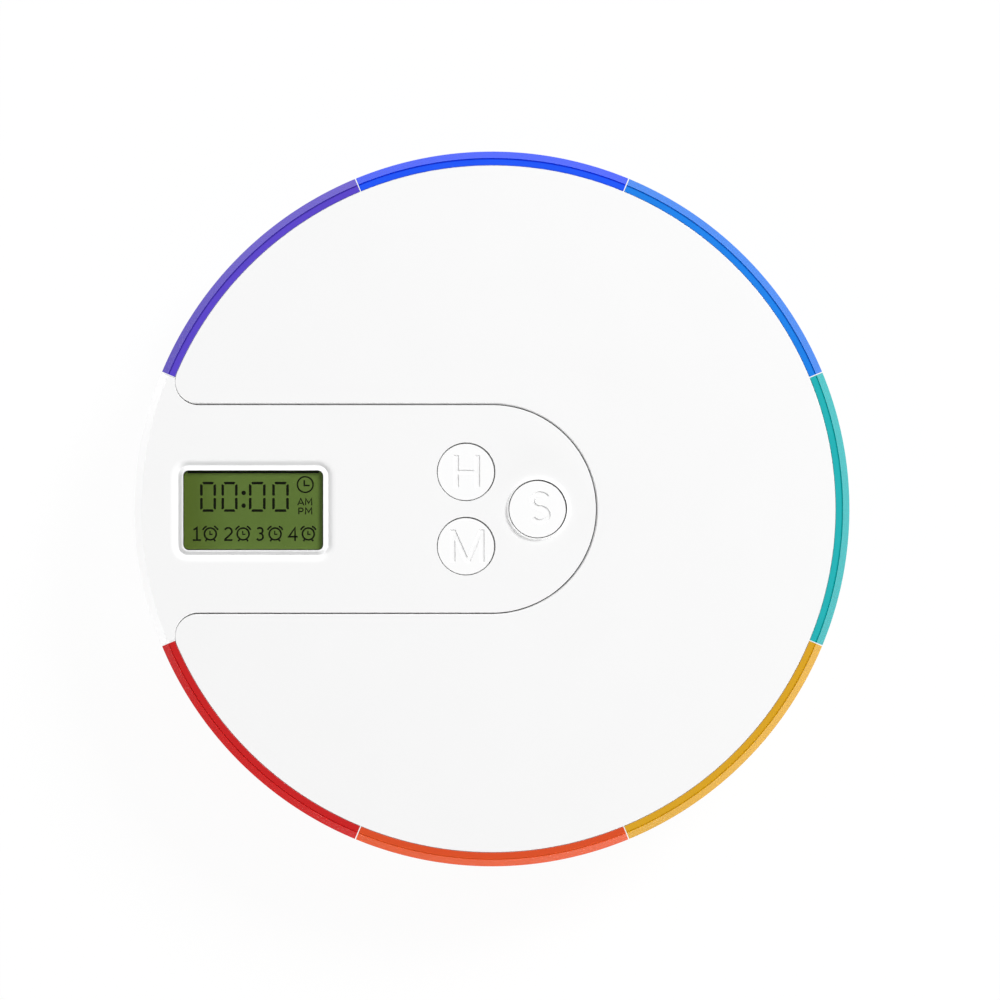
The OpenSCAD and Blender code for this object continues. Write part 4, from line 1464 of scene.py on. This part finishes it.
@dataclass
class LcdArt:
    """The dark liquid crystal shapes: the time, the marks beside it and the row of four alarms, with a dark
    line painted as shadow along the window's upper edge.

    Places are in millimetres from the middle of the window. Each shape stands a hair higher than the
    one before, so that no two faces lie in one plane.

    Attributes:
        centre: Middle of the window.
        low: Height of the shapes' underside.
        thick: Thickness of the shapes.
        hair: How much each further shape adds to that.
        bar: Width of the time's segments.
        made: The moulding that the shapes go into.
        shapes: Number of the shapes so far.
    """

    centre: Point
    low: float
    thick: float = 0.03
    hair: float = 0.0005
    bar: float = 0.57
    made: Moulding = field(default_factory=Moulding)
    shapes: int = 0

    def level(self) -> tuple[float, float]:
        """Gives the next shape's lower and upper height."""
        self.shapes += 1
        return self.low, self.low + self.thick + self.hair * self.shapes

    def shape(self, outline: Sequence[Point]) -> None:
        """Adds one closed shape."""
        points = [(self.centre[0] + x, self.centre[1] + y) for x, y in outline]
        self.made.solid([(points, z) for z in self.level()])

    def stroke(self, line: Sequence[Point], width: float, at: Point = (0.0, 0.0)) -> None:
        """Adds a line of even width."""
        self.shape(ribbon([(at[0] + x, at[1] + y) for x, y in line], width))

    def hoop(self, radius: float, width: float, at: Point) -> None:
        """Adds a circle's line."""
        low, high = self.level()
        hub = (self.centre[0] + at[0], self.centre[1] + at[1])
        loops = [self.made.wall([(circle(r, 48, hub), z) for z in (low, high)])
                 for r in (radius + width / 2, radius - width / 2)]
        for outer, inner in zip(*loops):
            self.made.cap(outer, inner)

    def zero(self, x0: float, x1: float, y0: float, y1: float) -> None:
        """Adds a zero of six segments, with its corners cut and its sides split at half height."""
        t, inset, chamfer, split = self.bar, 0.5, 0.16, 0.2
        mid = (y0 + y1) / 2
        for y, s in ((y1, -1), (y0, 1)):
            self.shape([(x0 + inset, y + s * chamfer), (x0 + inset + chamfer, y), (x1 - inset - chamfer, y),
                        (x1 - inset, y + s * chamfer), (x1 - inset - 1.5 * chamfer, y + s * t),
                        (x0 + inset + 1.5 * chamfer, y + s * t)])
        for x, s in ((x0, 1), (x1, -1)):
            for end, way in ((y1, -1), (y0, 1)):
                self.shape([(x, end + way * (inset + chamfer)), (x + s * chamfer, end + way * inset),
                            (x + s * t, end + way * (inset + 1.7 * chamfer)),
                            (x + s * t, mid - way * (split + chamfer)), (x + s * t / 2, mid - way * split),
                            (x, mid - way * (split + chamfer))])

    def time(self) -> None:
        """Adds four zeros and the colon between them."""
        low, high = -0.34, 6.37
        for x0, x1 in ((-11.89, -8.33), (-7.11, -3.51), (-0.97, 2.75), (4.24, 7.94)):
            self.zero(x0, x1, low, high)
        for y in (3.89, 1.04):
            self.shape(circle(0.5, 24, (-2.15, y)))

    def clock(self) -> None:
        """Adds the small clock at the upper right."""
        at, radius, line = (11.62, 5.76), 1.75, 0.33
        self.hoop(radius, line, at)
        self.stroke([(-0.22, 0.98), (-0.22, -0.22), (0.98, -0.22)], line, at)

    def halves(self) -> None:
        """Adds the marks for morning and afternoon."""
        thin, tall = 0.25, 1.5
        for x, y, is_morning in ((9.95, 1.14, True), (10.15, -0.9, False)):
            if is_morning:
                self.stroke([(0.0, 0.0), (0.68, tall), (1.36, 0.0)], thin, (x, y))
                self.stroke([(0.25, 0.45), (1.11, 0.45)], thin, (x, y))
            else:
                bowl = arc(0.38, 90, -90, 8, (0.6, tall - 0.49))
                self.stroke([(0.05, 0.0), (0.05, tall)], thin, (x, y))
                self.stroke([(0.05, tall - 0.11), *bowl, (0.05, tall - 0.87)], thin, (x, y))
            self.stroke([(0.0, 0.0), (0.05, tall), (0.7, 0.45), (1.35, tall), (1.4, 0.0)], thin, (11.68, y))

    def digits(self) -> None:
        """Adds the numbers 1 to 4 of the alarms."""
        line, foot, head = 0.39, -6.66, -3.9
        self.stroke([(-13.35, -4.4), (-12.6, head), (-12.6, foot)], line)
        self.stroke([(-13.5, foot), (-11.7, foot)], line)
        self.stroke([*arc(0.82, 155, -35, 12, (-5.6, head - 0.82)), (-6.4, foot + 0.1)], line)
        self.stroke([(-6.5, foot), (-4.65, foot)], line)
        self.stroke([*arc(0.66, 145, -80, 14, (1.45, head - 0.66))], line)
        self.stroke([*arc(0.76, 95, -145, 14, (1.42, foot + 0.76))], line)
        self.stroke([(9.35, foot - 0.15), (9.35, head), (7.95, -5.9), (9.95, -5.9)], line)

    def alarm(self, at: Point) -> None:
        """Adds one alarm clock: face, two bells, two feet and two hands."""
        line, thin = 0.36, 0.25
        self.hoop(1.32, line, at)
        self.stroke([(-0.09, 0.7), (-0.09, -0.1), (0.5, -0.1)], thin, at)
        for side in (-1, 1):
            self.stroke([polar(1.92, 90 - side * turn) for turn in (26, 38, 50, 62)], line, at)
            self.stroke([(side * 0.78, -1.2), (side * 1.1, -1.62)], line, at)

    def painted_shadow_line(self, width: float, height: float) -> None:
        """Adds a painted shadow: a dark line along the window's upper edge, where the opening's edge shades
        the glass.
        """
        line, end = 0.4, 1.0
        x, y = width / 2 - end, height / 2 - 0.2 - line / 2
        self.stroke([(-x, y), (x, y)], line)

    def build(self, width: float, height: float) -> Piece:
        """Builds all of it for a window of that size."""
        # a dark line painted as shadow along the window's upper edge
        self.painted_shadow_line(width, height)
        self.time()
        self.clock()
        self.halves()
        self.digits()
        for x in (-9.6, -2.27, 4.89, 12.31):
            self.alarm((x, -5.28))
        return self.made.to_object("lcd_segments")


@dataclass
class Display:
    """The clear window, the green glass and its dark segments.

    Attributes:
        glass: Finish of the panel.
        window: Finish of the window.
        ink: Finish of the segments.
        opening: Width and height of the opening in the timer.
        fit: Gap between the window and its opening.
        corner: Radius of the window's corners.
        flange_corner: Radius of the corners of the window's flange.
        flange_t: Thickness of the flange.
        edge: Width of the bevel round the window's face.
        pane_t: Thickness of the window over its hollow.
        rim: Thickness of the window's wall round its hollow.
        ink_room: Space over the panel for the segments.
    """

    glass: Material
    window: Material
    ink: Material
    opening: Point = WINDOW
    fit: float = 0.1
    corner: float = 1.1
    flange_corner: float = 1.6
    flange_t: float = 0.78
    edge: float = 0.12
    pane_t: float = 0.4
    rim: float = 0.04
    ink_room: float = 0.11

    def build(self) -> None:
        """Builds the display."""
        low, high = box_mm("display_window")
        at = middle("display_window")
        self.pane(low, high, at)
        self.panel(at, high.z - self.pane_t - self.ink_room)

    def outline(self, inset: float, at: Point) -> list[Point]:
        """Gives the opening's outline, drawn in by an even amount."""
        width, height = self.opening
        return round_rect(width - 2 * inset, height - 2 * inset, self.corner + self.fit - inset, at)

    def pane(self, low: Vector, high: Vector, at: Point) -> None:
        """Builds the window with its flange, hollow below for the upper glass of the panel.

        Args:
            low: Lowest corner of the CAD window.
            high: Highest corner of the CAD window.
            at: Its middle.
        """
        flange = round_rect(high.x - low.x, high.y - low.y, self.flange_corner, at)
        pane, face = self.outline(self.fit, at), self.outline(self.fit + self.edge, at)
        room = self.outline(self.fit + self.rim, at)
        step = low.z + self.flange_t
        made = Moulding()
        foot, top = made.wall([(flange, low.z), (flange, step), (pane, step), (pane, high.z - self.edge),
                               (face, high.z)])
        made.cap(top)
        mouth, ceiling = made.wall([(room, low.z), (room, high.z - self.pane_t)])
        made.cap(ceiling)
        made.cap(foot, mouth)
        place(made.to_object("window_pane"), "timer", self.window, ["display_window"])

    def panel(self, at: Point, face: float) -> None:
        """Builds the panel, whose upper glass fills the window's hollow, and the shapes on it.

        Args:
            at: Middle of the window.
            face: Height of the upper glass.
        """
        low, high = box_mm("lcd_panel")
        plate = round_rect(high.x - low.x, high.y - low.y, 2 * self.fit, middle("lcd_panel"))
        upper = self.outline(self.fit + 2 * self.rim, at)
        step = high.z - self.ink_room
        made = Moulding().solid([(plate, low.z), (plate, step), (upper, step), (upper, face)])
        place(made.to_object("lcd_glass"), "timer", self.glass, ["lcd_panel"])
        # the shapes include a dark line painted as shadow along the window's upper edge
        art = LcdArt(at, face - self.ink_room / 4).build(*self.opening)
        place(art, "timer", self.ink)


@dataclass
class Finishes:
    """The finishes of the CAD nodes that are shown as they are.

    Attributes:
        mould_edge: Width in millimetres over which the white mouldings' edges look rounded.
    """

    mould_edge: float = 0.25

    def build(self) -> None:
        """Gives each remaining CAD node its material."""
        edge = self.mould_edge
        white = MouldedPlastic("moulded_white_abs_base", "#eeeeec", "#e9e9e6", edge=edge).build()
        inner = MouldedPlastic("moulded_white_abs_inner", "#e8e8e4", "#e2e2de", edge=edge).build()
        steel = PlatedMetal("zinc_plated_steel", "#c8ccd0").build()
        nickel = PlatedMetal("nickel_plated_spring_steel", "#cfcdc6").build()
        rubber = Rubber("moulded_grey_rubber", "#4a4a4c", "#5c5c5e").build()
        black = MouldedPlastic("black_epoxy", "#1c1c1e", "#151517").build()
        grey = MouldedPlastic("grey_nylon", "#4a4a4e", "#404044").build()
        pin = MouldedPlastic("white_acetal", "#e6e6e2", "#dcdcd8").build()
        zebra = Banded("layered_contact_rubber", "#202022", "#8c8c8a", 0.4).build()
        sleeve = Banded("printed_cell_sleeve", "#20242a", "#b87838", 60.0, 0.62, 0.6).build()
        table = {"base_tray": white, "mid_deck": inner, "timer_back_shell": white, "battery_door": white,
                 "rubber_feet": rubber, "base_screws": steel, "cover_screws": steel, "timer_screws": steel,
                 "lcd_holder": pin, "zebra_strip": zebra, "circuit_board": SolderMask().build(),
                 "controller_chip": black, "crystal": nickel, "buzzer": black,
                 "small_components": MouldedPlastic("tan_ceramic", "#a5855e", "#8f714e").build(),
                 "hour_switch": grey, "minute_switch": grey, "set_switch": grey,
                 "hour_plunger": pin, "minute_plunger": pin, "set_plunger": pin,
                 "battery_cell": sleeve, "battery_spring": nickel, "contact_plates": nickel,
                 "positive_lead": MouldedPlastic("red_pvc", "#b8201f", "#a81a19").build(),
                 "negative_lead": MouldedPlastic("black_pvc", "#1b1b1d", "#141416").build()}
        for node, material in table.items():
            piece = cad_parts[node]
            piece.data.materials.clear()
            piece.data.materials.append(material)
            LOG.info("%s: %s", node, material.name)


def main() -> None:
    """Builds the studio and every piece of the pill box."""
    logging.basicConfig(level=logging.INFO, format="%(name)s %(message)s")
    ring = Ring()
    StudioLight(ring.top - ring.slope).build()
    cover = TopCover(MouldedPlastic("moulded_white_abs_cover", "#f4f4f4", "#f2f2f2").build())
    cover.build()
    DrawerSet(ring).build()
    # the timer's rim slope gets a painted highlight in white
    shell = MouldedPlastic("moulded_white_abs_timer", "#f4f4f4", "#f2f2f2",
                           rim="#ffffff", painted_highlight_from=ring.crest)
    Timer(ring, shell.build(), cover).build()
    Keys(MouldedPlastic("moulded_white_abs_buttons", "#f9f9f9", "#f7f7f7", 0.25, 0.33).build()).build()
    Display(LiquidCrystal().build(), ClearAcrylic().build(),
            MouldedPlastic("dark_liquid_crystal_segments", "#15190c", "#12150a", 0.12, 0.2).build()).build()
    Finishes().build()


if __name__ == "__main__":
    main()
